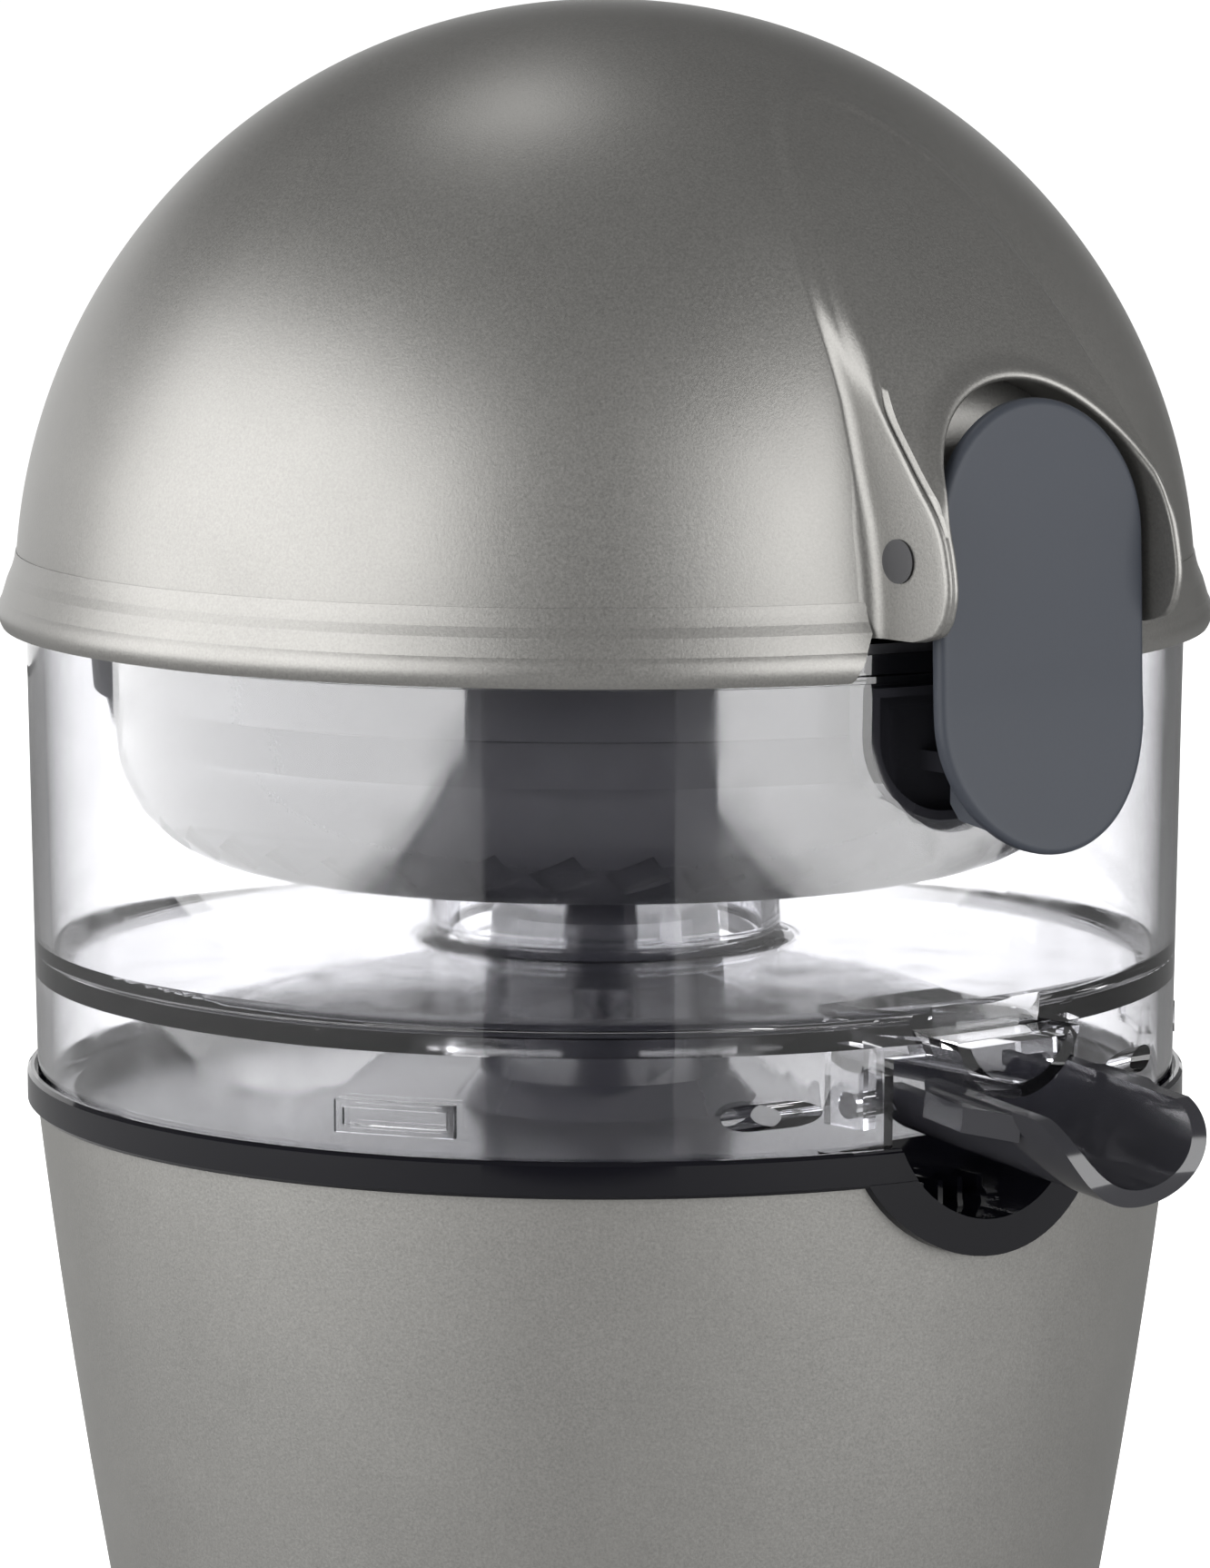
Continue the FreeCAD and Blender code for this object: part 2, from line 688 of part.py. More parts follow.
def juice_bowl():
    inner0, inner1 = bowl_r0 - bowl_wall, bowl_r1 - bowl_wall
    top = floor_z + floor_t
    shell = turn([
        (inner0, skirt_z), (bowl_r0, skirt_z), (bowl_r(bowl_top - 4.3), bowl_top - 4.3),
        (bowl_r1 + 0.8, bowl_top - 4.1), (bowl_r1 + 0.8, bowl_top - 3.1), (bowl_r1, bowl_top - 2.9),
        (bowl_r1, bowl_top), (inner1, bowl_top), (inner0 + 0.2, top + 3.5),
        (inner0 - 0.9, top + 1, inner0 - 3.3, top), (chimney_r + 3, top + floor_rise),
        (chimney_r + 0.6, top + floor_rise + 0.8, chimney_r, top + floor_rise + 3),
        (chimney_r - 0.8, chimney_top), (chimney_r - 0.8 - chimney_wall, chimney_top),
        (chimney_r - chimney_wall, floor_z + floor_rise), (inner0, floor_z),
    ])
    ears = fuse(*[box(x0, x1, pivot_y - 3.4, pivot_y + 5, pivot_z - 3.4, floor_z + 1)
                  for x0, x1 in ((-ear_out, -ear_in), (ear_in, ear_out))])
    ears = ears.common(cyl(inner0 + 0.5, 0, far))
    shell = shell.cut(box(-gate_w, gate_w, -far, -40, 0, skirt_z + gate_h))
    shape = fuse(shell, ears, twist_mark(-60), twist_mark(60)).cut(nozzle_form()).cut(sump())
    shape = shape.cut(rod_x(stub + running, -60, 60, pivot_y, pivot_z))
    return shape.cut(slab_y(seat_outline(0), -far, -40))


tooth_out = 3.9                     # how far the catch ridge stands out beyond the body's top
ridge_low = seat_low + 7.3
ridge_h = 3.0
ridge_w = 12.0


def latch_catch():
    shell = tube(bowl_r(seat_low) + 0.1, bowl_r0 - bowl_wall - 1.7, seat_low - 9, seat_top + 9)
    block = shell.common(slab_y(seat_outline(0.02), -far, -40))
    pocket = slab_y(seat_outline(1.4), -far, -bowl_r0 + bowl_wall + 6)
    back = cyl(bowl_r0 - bowl_wall, 0, far)
    block = block.cut(pocket.cut(back))
    ridge = box(-ridge_w, ridge_w, -body_top_r - tooth_out, -bowl_r0 + 5, ridge_low, ridge_low + ridge_h)
    return fuse(block, ridge)


# ---- rear hinge ----
hinge_y = body_top_r + 11.1
hinge_z = bowl_top - 5.0
knuckle_r = 4.5
arm_w = 8.7
bracket_w = 15.0


def hinge_bracket():
    y, z = hinge_y, hinge_z
    plate = slab_x([
        (bowl_r0 - 8, z - 27), (bowl_r0 + 3.6, z - 27), (y + knuckle_r * 0.9, z - knuckle_r * 0.44),
        (y, z), (y - knuckle_r * 0.98, z - 0.6), (bowl_r0 - 8, z - 0.6),
    ], -bracket_w, bracket_w)
    knuckle = rod_x(knuckle_r, -bracket_w, bracket_w, y, z)
    slot = rod_x(knuckle_r + 0.7, -arm_w - slip, arm_w + slip, y, z)
    clear = box(-arm_w - slip, arm_w + slip, y - 6, y + 9, z - 1, z + 9)
    shape = fuse(plate, knuckle).cut(bowl_solid()).cut(slot).cut(clear)
    return shape.cut(rod_x(hinge_pin_r, -40, 40, y, z))


def hinge_pin():
    return rod_x(hinge_pin_r, -bracket_w + 0.5, bracket_w - 0.5, hinge_y, hinge_z)


def lid_form():
    """Round lid with its rim band, as one solid, without the hood."""
    return fuse(ball(lid_r, lid_c).cut(box(-far, far, -far, far, -far, lid_low)), rim_solid())


rim_low = bowl_top - 3.6             # lower edge of the rim band
lid_low = crease_z - 5.2             # lower edge of the lid's shell


def rim_points():
    c, r = crease_z, lid_r
    return [
        (r + 2.1, rim_low), (r + 2.65, rim_low + 1.5, r + 2.1, c - 7.1),
        (r + 1.25, c - 4.3), (r + 0.6, c - 2.8), (r + 0.1, c - 1.1, r - 0.1, c),
    ]


def rim_solid():
    return turn([(0, rim_low)] + rim_points() + [(0, crease_z)])


def hinge_arm():
    y, z = hinge_y, hinge_z
    web = slab_x([
        (lid_r - 2, rim_low + 0.8), (lid_r - 2, crease_z - 2), (lid_r + 4, crease_z - 3),
        (y + knuckle_r * 0.8, z + knuckle_r * 0.6), (y, z), (y - knuckle_r * 0.9, z + knuckle_r * 0.4),
    ], -arm_w, arm_w)
    arm = fuse(web, rod_x(knuckle_r, -arm_w, arm_w, y, z)).cut(lid_form())
    return arm.cut(rod_x(hinge_pin_r + running, -40, 40, y, z))


# ---- strainer and reamer ----
basket_t = 1.5
basket_r = bowl_r0 - 10.9
basket_corner = 20.0
basket_taper = 1.9
hub_r = 30.0
reamer_r = 36.0
reamer_h = 47.0
reamer_z = basket_z + 2.6
cone_z = reamer_z + 5.0
hex_flats = 8.6
hex_play = 0.1
socket_h = 20.0


def basket_form(inset, high):
    """The strainer's form as a solid cup, drawn in by an inset, up to the given height."""
    r, c, z = basket_r - inset, basket_corner - inset, basket_z + inset
    k = math.sqrt(0.5)
    foot = r - basket_taper
    return turn([
        (0, high), (r + 2.6, high), (r + 1.6, bowl_top - 13), (r, bowl_top - 13.4), (foot, z + c),
        (foot - c + c * k, z + c - c * k, foot - c, z), (0, z),
    ])


def strainer():
    flange = cyl(bowl_r1 - 1.0, bowl_top, bowl_top + basket_t)
    shape = fuse(basket_form(0, bowl_top + 0.5), flange).cut(basket_form(basket_t, bowl_top + 5))
    hub = tube(hub_r + basket_t, hub_r, basket_z, basket_z + 5)
    shape = fuse(shape, hub).cut(cyl(hub_r, 0, basket_z + 9))
    floor_slot = box(0, 8, -0.8, 0.8, basket_z - 1, basket_z + 3)
    slots = []
    for at, count in ((38, 30), (49, 36)):
        slots += around(slide(floor_slot, x=at), count)
    side = box(-1.1, 1.1, -4, 4, -3.2, 3.2)
    side.rotate(Vector(0, 0, 0), Vector(1, 0, 0), 30)
    side.rotate(Vector(0, 0, 0), Vector(0, 1, 0), 45)
    bend = basket_corner * math.sqrt(0.5)
    reach = basket_r - basket_taper - basket_corner + bend
    side = slide(side, x=reach, z=basket_z + basket_corner - bend)
    slots += around(side, 40)
    return shape.cut(Part.makeCompound(slots))


def hexagon(flats, z0, z1):
    r = flats / math.sqrt(3)
    pts = [(r * math.cos(math.radians(60 * i)), r * math.sin(math.radians(60 * i))) for i in range(6)]
    return slab_z(pts, z0, z1)


def drive_shaft():
    shoulder = reamer_z + 1.5
    return fuse(cyl(shaft_r, stage2_z - 1, shoulder), hexagon(hex_flats, shoulder, reamer_z + socket_h - 1))


def shaft_clip():
    z0 = cover_z + cover_t + 0.6
    return tube(shaft_r + 3, shaft_r, z0, z0 + 1.2).cut(box(-2.5, 2.5, 0, 20, 0, far))


def reamer():
    base = turn([
        (0, reamer_z), (33.6, reamer_z), (33.6, reamer_z + 0.2), (reamer_r, reamer_z + 0.2),
        (reamer_r, reamer_z + 3), (reamer_r - 0.8, reamer_z + 4.4, reamer_r - 3, cone_z), (0, cone_z),
    ]).cut(tube(33.4, 15, reamer_z - 1, reamer_z + 2.6))
    tip = reamer_z + reamer_h
    core = turn([(0, cone_z - 1), (24, cone_z - 1), (19, cone_z + 18, 3, tip - 2.5), (0, tip - 2)])
    ogive = turn([(0, cone_z - 1), (31, cone_z - 1), (24.5, cone_z + 20, 2.2, tip - 0.6), (0, tip)])
    blade = slab_z([(0, -2.6), (40, -0.9), (40, 0.9), (0, 2.6)], cone_z - 1, tip + 1)
    star = fuse(*around(blade, 10))
    shape = fuse(base, core, star.common(ogive))
    shape = shape.cut(hexagon(hex_flats + 2 * hex_play, 0, reamer_z + socket_h))
    return shape.cut(cyl(shaft_r + 0.4, 0, reamer_z + 2.0))


# ---- folding spout ----
spout_slope = 6.6
spout_reach = body_top_r + 26.0     # tip of the trough's top edges, from the axis
spout_back = body_top_r - 10.9
edge_z = base_h + 16.2              # trough's top edge where it leaves the wall
edge_drop = 2.7                     # the trough's centre line lies above its top edges


def spout():
    out_r = spout_in_r + spout_wall
    y0, y1 = -spout_back, -spout_reach
    trough = rod_y(out_r, y1 - 12, y0, 0, edge_drop)
    trough = trough.cut(rod_y(spout_in_r, y1 - 40, y0 - spout_wall, 0, edge_drop))
    trough = trough.cut(box(-40, 40, -far, 100, 0, 60))
    low = edge_drop - out_r - 1
    front = slab_x([(y1 - 40, 5), (y1, 5), (y1, 0), (y1 - 5.6, -4, y1 - 7.1, low), (y1 - 40, low)], -40, 40)
    rear = box(-spout_in_r, spout_in_r, y0 - spout_wall - 1, y0 + 1, -7.5, 5)
    lugs = [slab_z([(s * (out_r - 1), y0 - 14), (s * (out_r + 2.6), y0 - 16),
                    (s * (out_r + 3.2), y0 - 25), (s * (out_r - 1), y0 - 33)], -4.5, -0.6) for s in (-1, 1)]
    heel = box(-40, 40, -bowl_r0 - 1.8, 0, -3, 5)
    shape = fuse(trough, *lugs).cut(front).cut(rear).cut(heel)
    shape.rotate(Vector(0, -bowl_r0, 0), Vector(1, 0, 0), spout_slope)
    shape = slide(shape, z=edge_z)
    pins = [rod_x(stub, x0, x1, pivot_y, pivot_z) for x0, x1 in
            ((-ear_out + 0.2, -spout_in_r - 0.5), (spout_in_r + 0.5, ear_out - 0.2))]
    return fuse(shape, *pins)


# ---- lid with its hood, latch and press ----
cheek_in = 22.0
cheek_out = 24.0
latch_y = -(lid_r + 2.1)
latch_z = crease_z + 6.4
plate_t = 3.6
latch_low = crease_z - 37.9
latch_pin_r = 2.0
pin_head_r = 3.25
lug_r = 3.6
latch_wire = 0.35
notch_top = 25.3
notch_low = 30.0
liner_gap = 0.7
liner_t = 2.0
guide_r = 10.0
press_r = 45.5
press_wall = 2.5
press_travel = 30.0
cup_over = 8.0                      # top of the press cup above the reamer's tip
rod_r = 6.0
cup_low = reamer_z + 10.0
cup_top = reamer_z + reamer_h + cup_over


def stadium(half_w, low, high):
    return [(-half_w, high - half_w), (-half_w, low + half_w), (0, low, half_w, low + half_w),
            (half_w, high - half_w), (0, high, -half_w, high - half_w)]


def lid_ball(r):
    return ball(r, lid_c).cut(box(-far, far, -far, far, -far, lid_low))


def dome_shell():
    c, r = crease_z, lid_r
    hood = slab_x([
        (-r + 33, c + 59), (-r + 31, c + 59), (-r - 0.9, c + 25, -r - 11.9, c + 7),
        (-r - 10.6, c - 2), (-r - 8.8, c - 4.2, -r - 5, lid_low), (-r + 33, lid_low),
    ], -cheek_out, cheek_out)
    shell = fuse(lid_ball(r), hood)
    pocket = slab_y(stadium(cheek_in, lid_low - 60, latch_low + latch_len + 2.3), -far, -40)
    shell = shell.cut(pocket.cut(ball(r, lid_c))).cut(ball(r - lid_wall, lid_c))
    return shell.cut(rod_x(latch_pin_r, -40, 40, latch_y, latch_z))


def dome_rim():
    rim = turn([(lid_r, rim_low)] + rim_points() + [(0, crease_z), (0, rim_low + 4), (lid_r, rim_low + 4)])
    rim = rim.cut(lid_ball(lid_r)).cut(cyl(lid_r, 0, crease_z - 1))
    z0, z1 = rim_low - 2, crease_z + 2
    return rim.cut(slab_y([(-notch_low, z0), (notch_low, z0), (notch_top, crease_z - 4.5),
                           (notch_top, z1), (-notch_top, z1), (-notch_top, crease_z - 4.5)], -far, -40))


def dome_liner():
    r = lid_r - lid_wall - liner_gap
    cut_low = box(-far, far, -far, far, -far, lid_low + 1.2)
    shell = ball(r, lid_c).cut(ball(r - liner_t, lid_c)).cut(cut_low)
    guide_low = cup_top + press_travel + 2.0
    guide = cyl(guide_r, guide_low, lid_c + r - 1.0)
    return fuse(shell, guide).cut(cyl(guide_r - 1.8, guide_low - 1, lid_c + r - liner_t))


def guide_bush():
    z0 = cup_top + press_travel + 2.0
    return tube(guide_r - 1.8, rod_r + running, z0, z0 + 6)


def latch_pin():
    shank = rod_x(latch_pin_r, -cheek_out, cheek_out, latch_y, latch_z)
    heads = [rod_x(pin_head_r, x, x + 0.4, latch_y, latch_z) for x in (-cheek_out - 0.4, cheek_out)]
    return fuse(shank, *heads)


def latch_spring():
    spring = coil(latch_pin_r + latch_wire + 0.15, latch_wire, -8.5, 8.5, 9)
    spring.rotate(Vector(0, 0, 0), Vector(0, 1, 0), 90)
    return slide(spring, y=latch_y, z=latch_z)


def latch_lever():
    high = latch_low + latch_len
    face_y = -lid_r - 5.4
    outer = [(face_y, high), (face_y - 2.4, (high + latch_low) / 2, face_y - 5.5, latch_low)]
    inner = [(face_y - 5.5 + plate_t, latch_low),
             (face_y - 2.4 + plate_t, (high + latch_low) / 2, face_y + plate_t, high)]
    plate = slab_x(outer + inner, -40, 40)
    plate = plate.common(slab_y(stadium(latch_half_w, latch_low, high), -far, -40))
    edges = [e for e in plate.Edges if e.CenterOfMass.y < face_y - 0.5 and e.Length > 3]
    plate = plate.makeFillet(1.3, [e for e in edges if on_outer(e, face_y, high)])
    lugs = []
    for x0, x1 in ((-20.3, -13.5), (13.5, 20.3)):
        web = slab_x([(latch_y - 0.5, latch_z + lug_r), (latch_y - 0.5, latch_z - lug_r),
                      (face_y - 1.5, latch_z - 6), (face_y - 0.5, latch_z + 6)], x0, x1)
        lugs += [rod_x(lug_r, x0, x1, latch_y, latch_z), web]
    keep = slab_x([(face_y - 1.2, latch_z + 9), (face_y - 1.9, latch_z - 9),
                   (latch_y + 9, latch_z - 9), (latch_y + 9, latch_z + 9)], -30, 30)
    lugs = [lug.common(keep) for lug in lugs]
    back_y = face_y - 5.5 + plate_t + 1.0
    nose_y = -body_top_r - tooth_out - slip
    hook = slab_x([
        (back_y - 3.2, ridge_low + 8), (back_y + 0.6, ridge_low + 8), (nose_y - 3.0, ridge_low + 3.5),
        (nose_y - 2.6, ridge_low + 0.4), (nose_y, ridge_low - 0.5), (nose_y, ridge_low - 4.2),
        (nose_y - 2, ridge_low - 6.5), (back_y - 3.2, ridge_low - 7.5),
    ], -ridge_w - 1, ridge_w + 1)
    lever = fuse(plate, *lugs, hook)
    groove = rod_x(latch_pin_r + 2 * latch_wire + 0.5, -9.5, 9.5, latch_y, latch_z)
    return lever.cut(rod_x(latch_pin_r + running, -40, 40, latch_y, latch_z)).cut(groove)


def on_outer(edge, face_y, high):
    """True for an edge of the latch plate's outer face: it lies on that face's arc."""
    p = edge.valueAt((edge.FirstParameter + edge.LastParameter) / 2)
    down = (high - p.z) / latch_len
    return p.y < face_y - 5.5 * down + 1.2


def press_cup():
    r, t = press_r, press_wall
    return turn([
        (r - t, cup_low), (r, cup_low), (r - 9, cup_low + 28, 16, cup_top - 3), (16, cup_top),
        (0, cup_top), (0, cup_top - 3.0), (14, cup_top - 4.5),
        (r - 9 - t * 0.9, cup_low + 27, r - t, cup_low),
    ])


def press_rod():
    head_z = cup_top + press_travel + 8.2
    return fuse(cyl(rod_r, cup_top, head_z), cyl(rod_r + 1.8, head_z, head_z + 2.6))


def press_spring():
    top = lid_c + math.sqrt((lid_r - lid_wall - liner_gap - liner_t) ** 2 - (guide_r + 4) ** 2) - slip
    return coil(guide_r + 2.6, 0.9, cup_top, top, 9)


parts = {
    "foot_ring": foot_ring, "base_plate": base_plate, "base_screws": base_screws,
    "body_shell": body_shell, "collar_ring": collar_ring, "deck": deck,
    "shaft_bushes": shaft_bushes, "shaft_seal": shaft_seal, "chassis_plate": chassis_plate,
    "chassis_screws": chassis_screws, "gearbox_case": gearbox_case,
    "gearbox_cover": gearbox_cover, "gearbox_screws": gearbox_screws,
    "idler_axle": idler_axle, "idler_gear": idler_gear, "output_gear": output_gear,
    "drive_shaft": drive_shaft, "shaft_clip": shaft_clip, "motor_can": motor_can,
    "motor_endplate": motor_endplate, "motor_bushes": motor_bushes, "motor_screws": motor_screws,
    "motor_magnets": motor_magnets, "armature_core": armature_core, "motor_shaft": motor_shaft,
    "commutator": commutator, "cooling_fan": cooling_fan, "motor_pinion": motor_pinion,
    "brushes": brushes, "brush_holders": brush_holders, "rectifier_board": rectifier_board,
    "switch_housing": switch_housing, "power_rocker": power_rocker, "cord_grommet": cord_grommet,
    "juice_bowl": juice_bowl, "outlet_nozzle": outlet_nozzle, "latch_catch": latch_catch,
    "hinge_bracket": hinge_bracket,
    "hinge_pin": hinge_pin, "hinge_arm": hinge_arm, "strainer": strainer, "reamer": reamer,
    "spout": spout, "dome_shell": dome_shell, "dome_rim": dome_rim, "dome_liner": dome_liner,
    "guide_bush": guide_bush, "latch_lever": latch_lever, "latch_pin": latch_pin,
    "latch_spring": latch_spring, "press_cup": press_cup, "press_rod": press_rod,
    "press_spring": press_spring,
}

for name, build in parts.items():
    shape = build()
    solids = shape.Solids
    if not shape.isValid() or not solids:
        print("bad shape:", name)
    shape = solids[0] if len(solids) == 1 else Part.makeCompound(solids)
    extent = shape.BoundBox
    print(f"{name:16s} solids {len(solids):2d}  volume {shape.Volume / 1000:8.2f} cm3  "
          f"x {extent.XMin:7.1f} {extent.XMax:7.1f}  y {extent.YMin:7.1f} {extent.YMax:7.1f}  "
          f"z {extent.ZMin:7.1f} {extent.ZMax:7.1f}")
    shape.exportStep(f"parts/{name}.step")
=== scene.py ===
import bpy
import bmesh
import json
import math
import numpy as np
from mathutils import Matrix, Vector

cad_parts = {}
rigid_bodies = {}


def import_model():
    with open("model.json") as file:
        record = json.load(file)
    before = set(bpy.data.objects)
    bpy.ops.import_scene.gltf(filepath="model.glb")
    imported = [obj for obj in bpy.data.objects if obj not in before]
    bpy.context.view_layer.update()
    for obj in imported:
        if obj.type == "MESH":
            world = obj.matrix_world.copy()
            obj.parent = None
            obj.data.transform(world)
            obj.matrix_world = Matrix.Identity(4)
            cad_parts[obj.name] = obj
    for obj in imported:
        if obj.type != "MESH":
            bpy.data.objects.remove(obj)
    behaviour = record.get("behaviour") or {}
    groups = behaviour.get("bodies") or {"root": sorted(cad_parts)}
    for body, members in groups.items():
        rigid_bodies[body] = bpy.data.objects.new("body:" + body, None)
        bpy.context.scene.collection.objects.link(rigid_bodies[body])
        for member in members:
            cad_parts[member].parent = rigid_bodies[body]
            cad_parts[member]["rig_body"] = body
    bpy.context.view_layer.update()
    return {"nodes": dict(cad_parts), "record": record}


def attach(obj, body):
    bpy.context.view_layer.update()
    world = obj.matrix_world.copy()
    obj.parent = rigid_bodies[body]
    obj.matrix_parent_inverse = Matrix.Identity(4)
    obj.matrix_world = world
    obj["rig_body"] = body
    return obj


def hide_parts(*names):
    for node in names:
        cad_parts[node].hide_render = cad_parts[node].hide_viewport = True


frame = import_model()
nodes = frame["nodes"]
bodyOf = {name: node["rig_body"] for name, node in nodes.items()}
slotOf = {part["node"]: part["material_slot"] for part in frame["record"]["subparts"]}
print("frame loaded,", len(nodes), "nodes")

view = {
    "azimuth": -40.0,      # degrees from the front, to the left
    "distance": 1.100,
    "height": 0.3307,
    "pitch": 7.6,          # degrees downwards
    "lens": 160.3,
    "far": 200.0,
}


def around(azimuth, distance, height):
    # place at a bearing from the front (-Y), turning towards +X
    turn = math.radians(azimuth)
    return Vector((distance * math.sin(turn), -distance * math.cos(turn), height))


def setCamera(v):
    data = bpy.data.cameras.new("camera")
    data.lens = v["lens"]
    data.clip_end = v["far"]
    camera = bpy.data.objects.new("camera", data)
    camera.location = around(v["azimuth"], v["distance"], v["height"])
    camera.rotation_euler = (math.radians(90 - v["pitch"]), 0, math.radians(v["azimuth"]))
    bpy.context.scene.collection.objects.link(camera)
    bpy.context.scene.camera = camera


setCamera(view)
bpy.context.scene.view_settings.view_transform = "Standard"


class Wire:
    # one socket of a node tree, so that shader sums read as plain sums
    def __init__(self, tree, socket=None):
        self.tree = tree
        self.socket = socket

    def make(self, kind, settings=None, sockets=None, out=0):
        # any node: its settings first, then the values or wires of its sockets
        node = self.tree.nodes.new(kind)
        for key, value in (settings or {}).items():
            setattr(node, key, value)
        for key, value in (sockets or {}).items():
            if isinstance(value, Wire):
                self.tree.links.new(value.socket, node.inputs[key])
            else:
                node.inputs[key].default_value = value
        return Wire(self.tree, node.outputs[out] if len(node.outputs) else None)

    def sum(self, operation, first, second):
        return self.make("ShaderNodeMath", {"operation": operation}, {0: first, 1: second})

    def __add__(self, other):
        return self.sum("ADD", self, other)

    def __radd__(self, other):
        return self.sum("ADD", other, self)

    def __sub__(self, other):
        return self.sum("SUBTRACT", self, other)

    def __rsub__(self, other):
        return self.sum("SUBTRACT", other, self)

    def __mul__(self, other):
        return self.sum("MULTIPLY", self, other)

    def __rmul__(self, other):
        return self.sum("MULTIPLY", other, self)

    def __pow__(self, other):
        return self.sum("POWER", self, other)


studio = {
    "fill": 1.20,          # what the pale room gives to soft surfaces and to the view
    "mirrored": 0.17,      # what glossy surfaces see of the room between the panels
    "panels": {
        "leftPanel": {"azimuth": -108, "distance": 0.98, "width": 1.75, "height": 1.05, "glow": 5.2},
        "rightPanel": {"azimuth": 14, "distance": 1.00, "width": 1.30, "height": 0.95, "glow": 5.0},
        "backPanel": {"azimuth": 160, "distance": 1.70, "width": 2.70, "height": 0.80, "glow": 1.05},
    },
    "panelLow": 0.004,     # gap between the floor and each panel
    "top": {"place": (0.09, 0.435, 1.35), "aim": (0, 0, 0.25), "size": 0.34, "glow": 5.0},
    "floor": {"pale": 0.90, "mirrored": 0.36, "reach": 60.0},
    "cloth": {"azimuth": -44.8, "distance": 0.80, "width": 0.51, "height": 0.62, "low": 0.001, "tone": 0.002},
}


def mirrored(start):
    # 1 for light that has already been mirrored by something glossy, else 0
    return start.sum("MINIMUM", start.make("ShaderNodeLightPath", out="Glossy Depth"), 1.0)


def setRoom(v):
    world = bpy.data.worlds.new("room")
    bpy.context.scene.world = world
    world.use_nodes = True
    tree = world.node_tree
    tree.nodes.clear()
    start = Wire(tree)
    strength = v["fill"] + mirrored(start) * (v["mirrored"] - v["fill"])
    glow = start.make("ShaderNodeBackground", {}, {"Color": (1, 1, 1, 1), "Strength": strength})
    start.make("ShaderNodeOutputWorld", {}, {"Surface": glow})


def setPanel(name, v, low):
    # upright light box that faces the middle; its glow times pi and its area is its power
    data = bpy.data.lights.new(name, "AREA")
    data.shape = "RECTANGLE"
    data.size = v["width"]
    data.size_y = v["height"]
    data.energy = v["glow"] * math.pi * v["width"] * v["height"]
    panel = bpy.data.objects.new(name, data)
    spot = around(v["azimuth"], v["distance"], low + v["height"] / 2)
    panel.location = spot
    panel.rotation_euler = Vector((-spot.x, -spot.y, 0)).to_track_quat("-Z", "Y").to_euler()
    panel.visible_camera = False
    bpy.context.scene.collection.objects.link(panel)


def setTop(v):
    data = bpy.data.lights.new("topLight", "AREA")
    data.shape = "DISK"
    data.size = v["size"]
    data.energy = v["glow"] * math.pi * (math.pi * v["size"] ** 2 / 4)
    lamp = bpy.data.objects.new("topLight", data)
    lamp.location = v["place"]
    aim = Vector(v["aim"]) - lamp.location
    lamp.rotation_euler = aim.to_track_quat("-Z", "Y").to_euler()
    lamp.visible_camera = False
    bpy.context.scene.collection.objects.link(lamp)


def stageMaterial(name, build):
    made = bpy.data.materials.new(name)
    made.use_nodes = True
    made.node_tree.nodes.clear()
    start = Wire(made.node_tree)
    start.make("ShaderNodeOutputMaterial", {}, {"Surface": build(start)})
    return made


def sheetMesh(name, corners, material):
    mesh = bpy.data.meshes.new(name)
    mesh.from_pydata(corners, [], [(0, 1, 2, 3)])
    mesh.materials.append(material)
    made = bpy.data.objects.new(name, mesh)
    bpy.context.scene.collection.objects.link(made)
    return made


def setFloor(v):
    # pale to the eye, dimmer in what glossy surfaces mirror
    def skin(start):
        tone = v["pale"] + mirrored(start) * (v["mirrored"] - v["pale"])
        colour = start.make("ShaderNodeCombineColor", {}, {"Red": tone, "Green": tone, "Blue": tone})
        return start.make("ShaderNodeBsdfDiffuse", {}, {"Color": colour})

    reach = v["reach"]
    corners = [(-reach, -reach, 0), (reach, -reach, 0), (reach, reach, 0), (-reach, reach, 0)]
    sheetMesh("floor", corners, stageMaterial("paleFloor", skin))


def setCloth(v):
    # dark cloth that only mirrored light meets: the gap between the panels
    def skin(start):
        clear = start.make("ShaderNodeBsdfTransparent")
        dark = start.make("ShaderNodeBsdfDiffuse", {}, {"Color": (v["tone"], v["tone"], v["tone"], 1)})
        return start.make("ShaderNodeMixShader", {}, {0: mirrored(start), 1: clear, 2: dark})

    centre = around(v["azimuth"], v["distance"], 0)
    along = Vector((-centre.y, centre.x, 0)).normalized() * (v["width"] / 2)
    low, high = v["low"], v["low"] + v["height"]
    ends = [centre - along, centre + along]
    corners = [(ends[0].x, ends[0].y, low), (ends[1].x, ends[1].y, low),
               (ends[1].x, ends[1].y, high), (ends[0].x, ends[0].y, high)]
    cloth = sheetMesh("darkCloth", corners, stageMaterial("darkCloth", skin))
    cloth.visible_camera = False
    cloth.visible_diffuse = False
    cloth.visible_volume_scatter = False
    cloth.visible_shadow = False


setRoom(studio)
for name, panelValues in studio["panels"].items():
    setPanel(name, panelValues, studio["panelLow"])
setTop(studio["top"])
setFloor(studio["floor"])
setCloth(studio["cloth"])
print("camera, room and lights set")


def newMaterial(name):
    made = bpy.data.materials.new(name)
    made.use_nodes = True
    made.node_tree.nodes.clear()
    return made, Wire(made.node_tree)


def place(start, stretch=(1, 1, 1)):
    # the point on the piece, in metres, stretched along each axis
    at = start.make("ShaderNodeTexCoord", out="Object")
    return start.make("ShaderNodeMapping", {}, {"Vector": at, "Scale": stretch})


def noise(start, at, size, detail=3.0, rough=0.55):
    # soft noise whose spots are about this many metres across
    sockets = {"Vector": at, "Scale": 1 / size, "Detail": detail, "Roughness": rough}
    return start.make("ShaderNodeTexNoise", {}, sockets)


def blendColour(start, factor, first, second):
    # a colour mix takes its factor at 0 and its colours at 6 and 7, and gives its result at 2
    return start.make("ShaderNodeMix", {"data_type": "RGBA"}, {0: factor, 6: first, 7: second}, out=2)


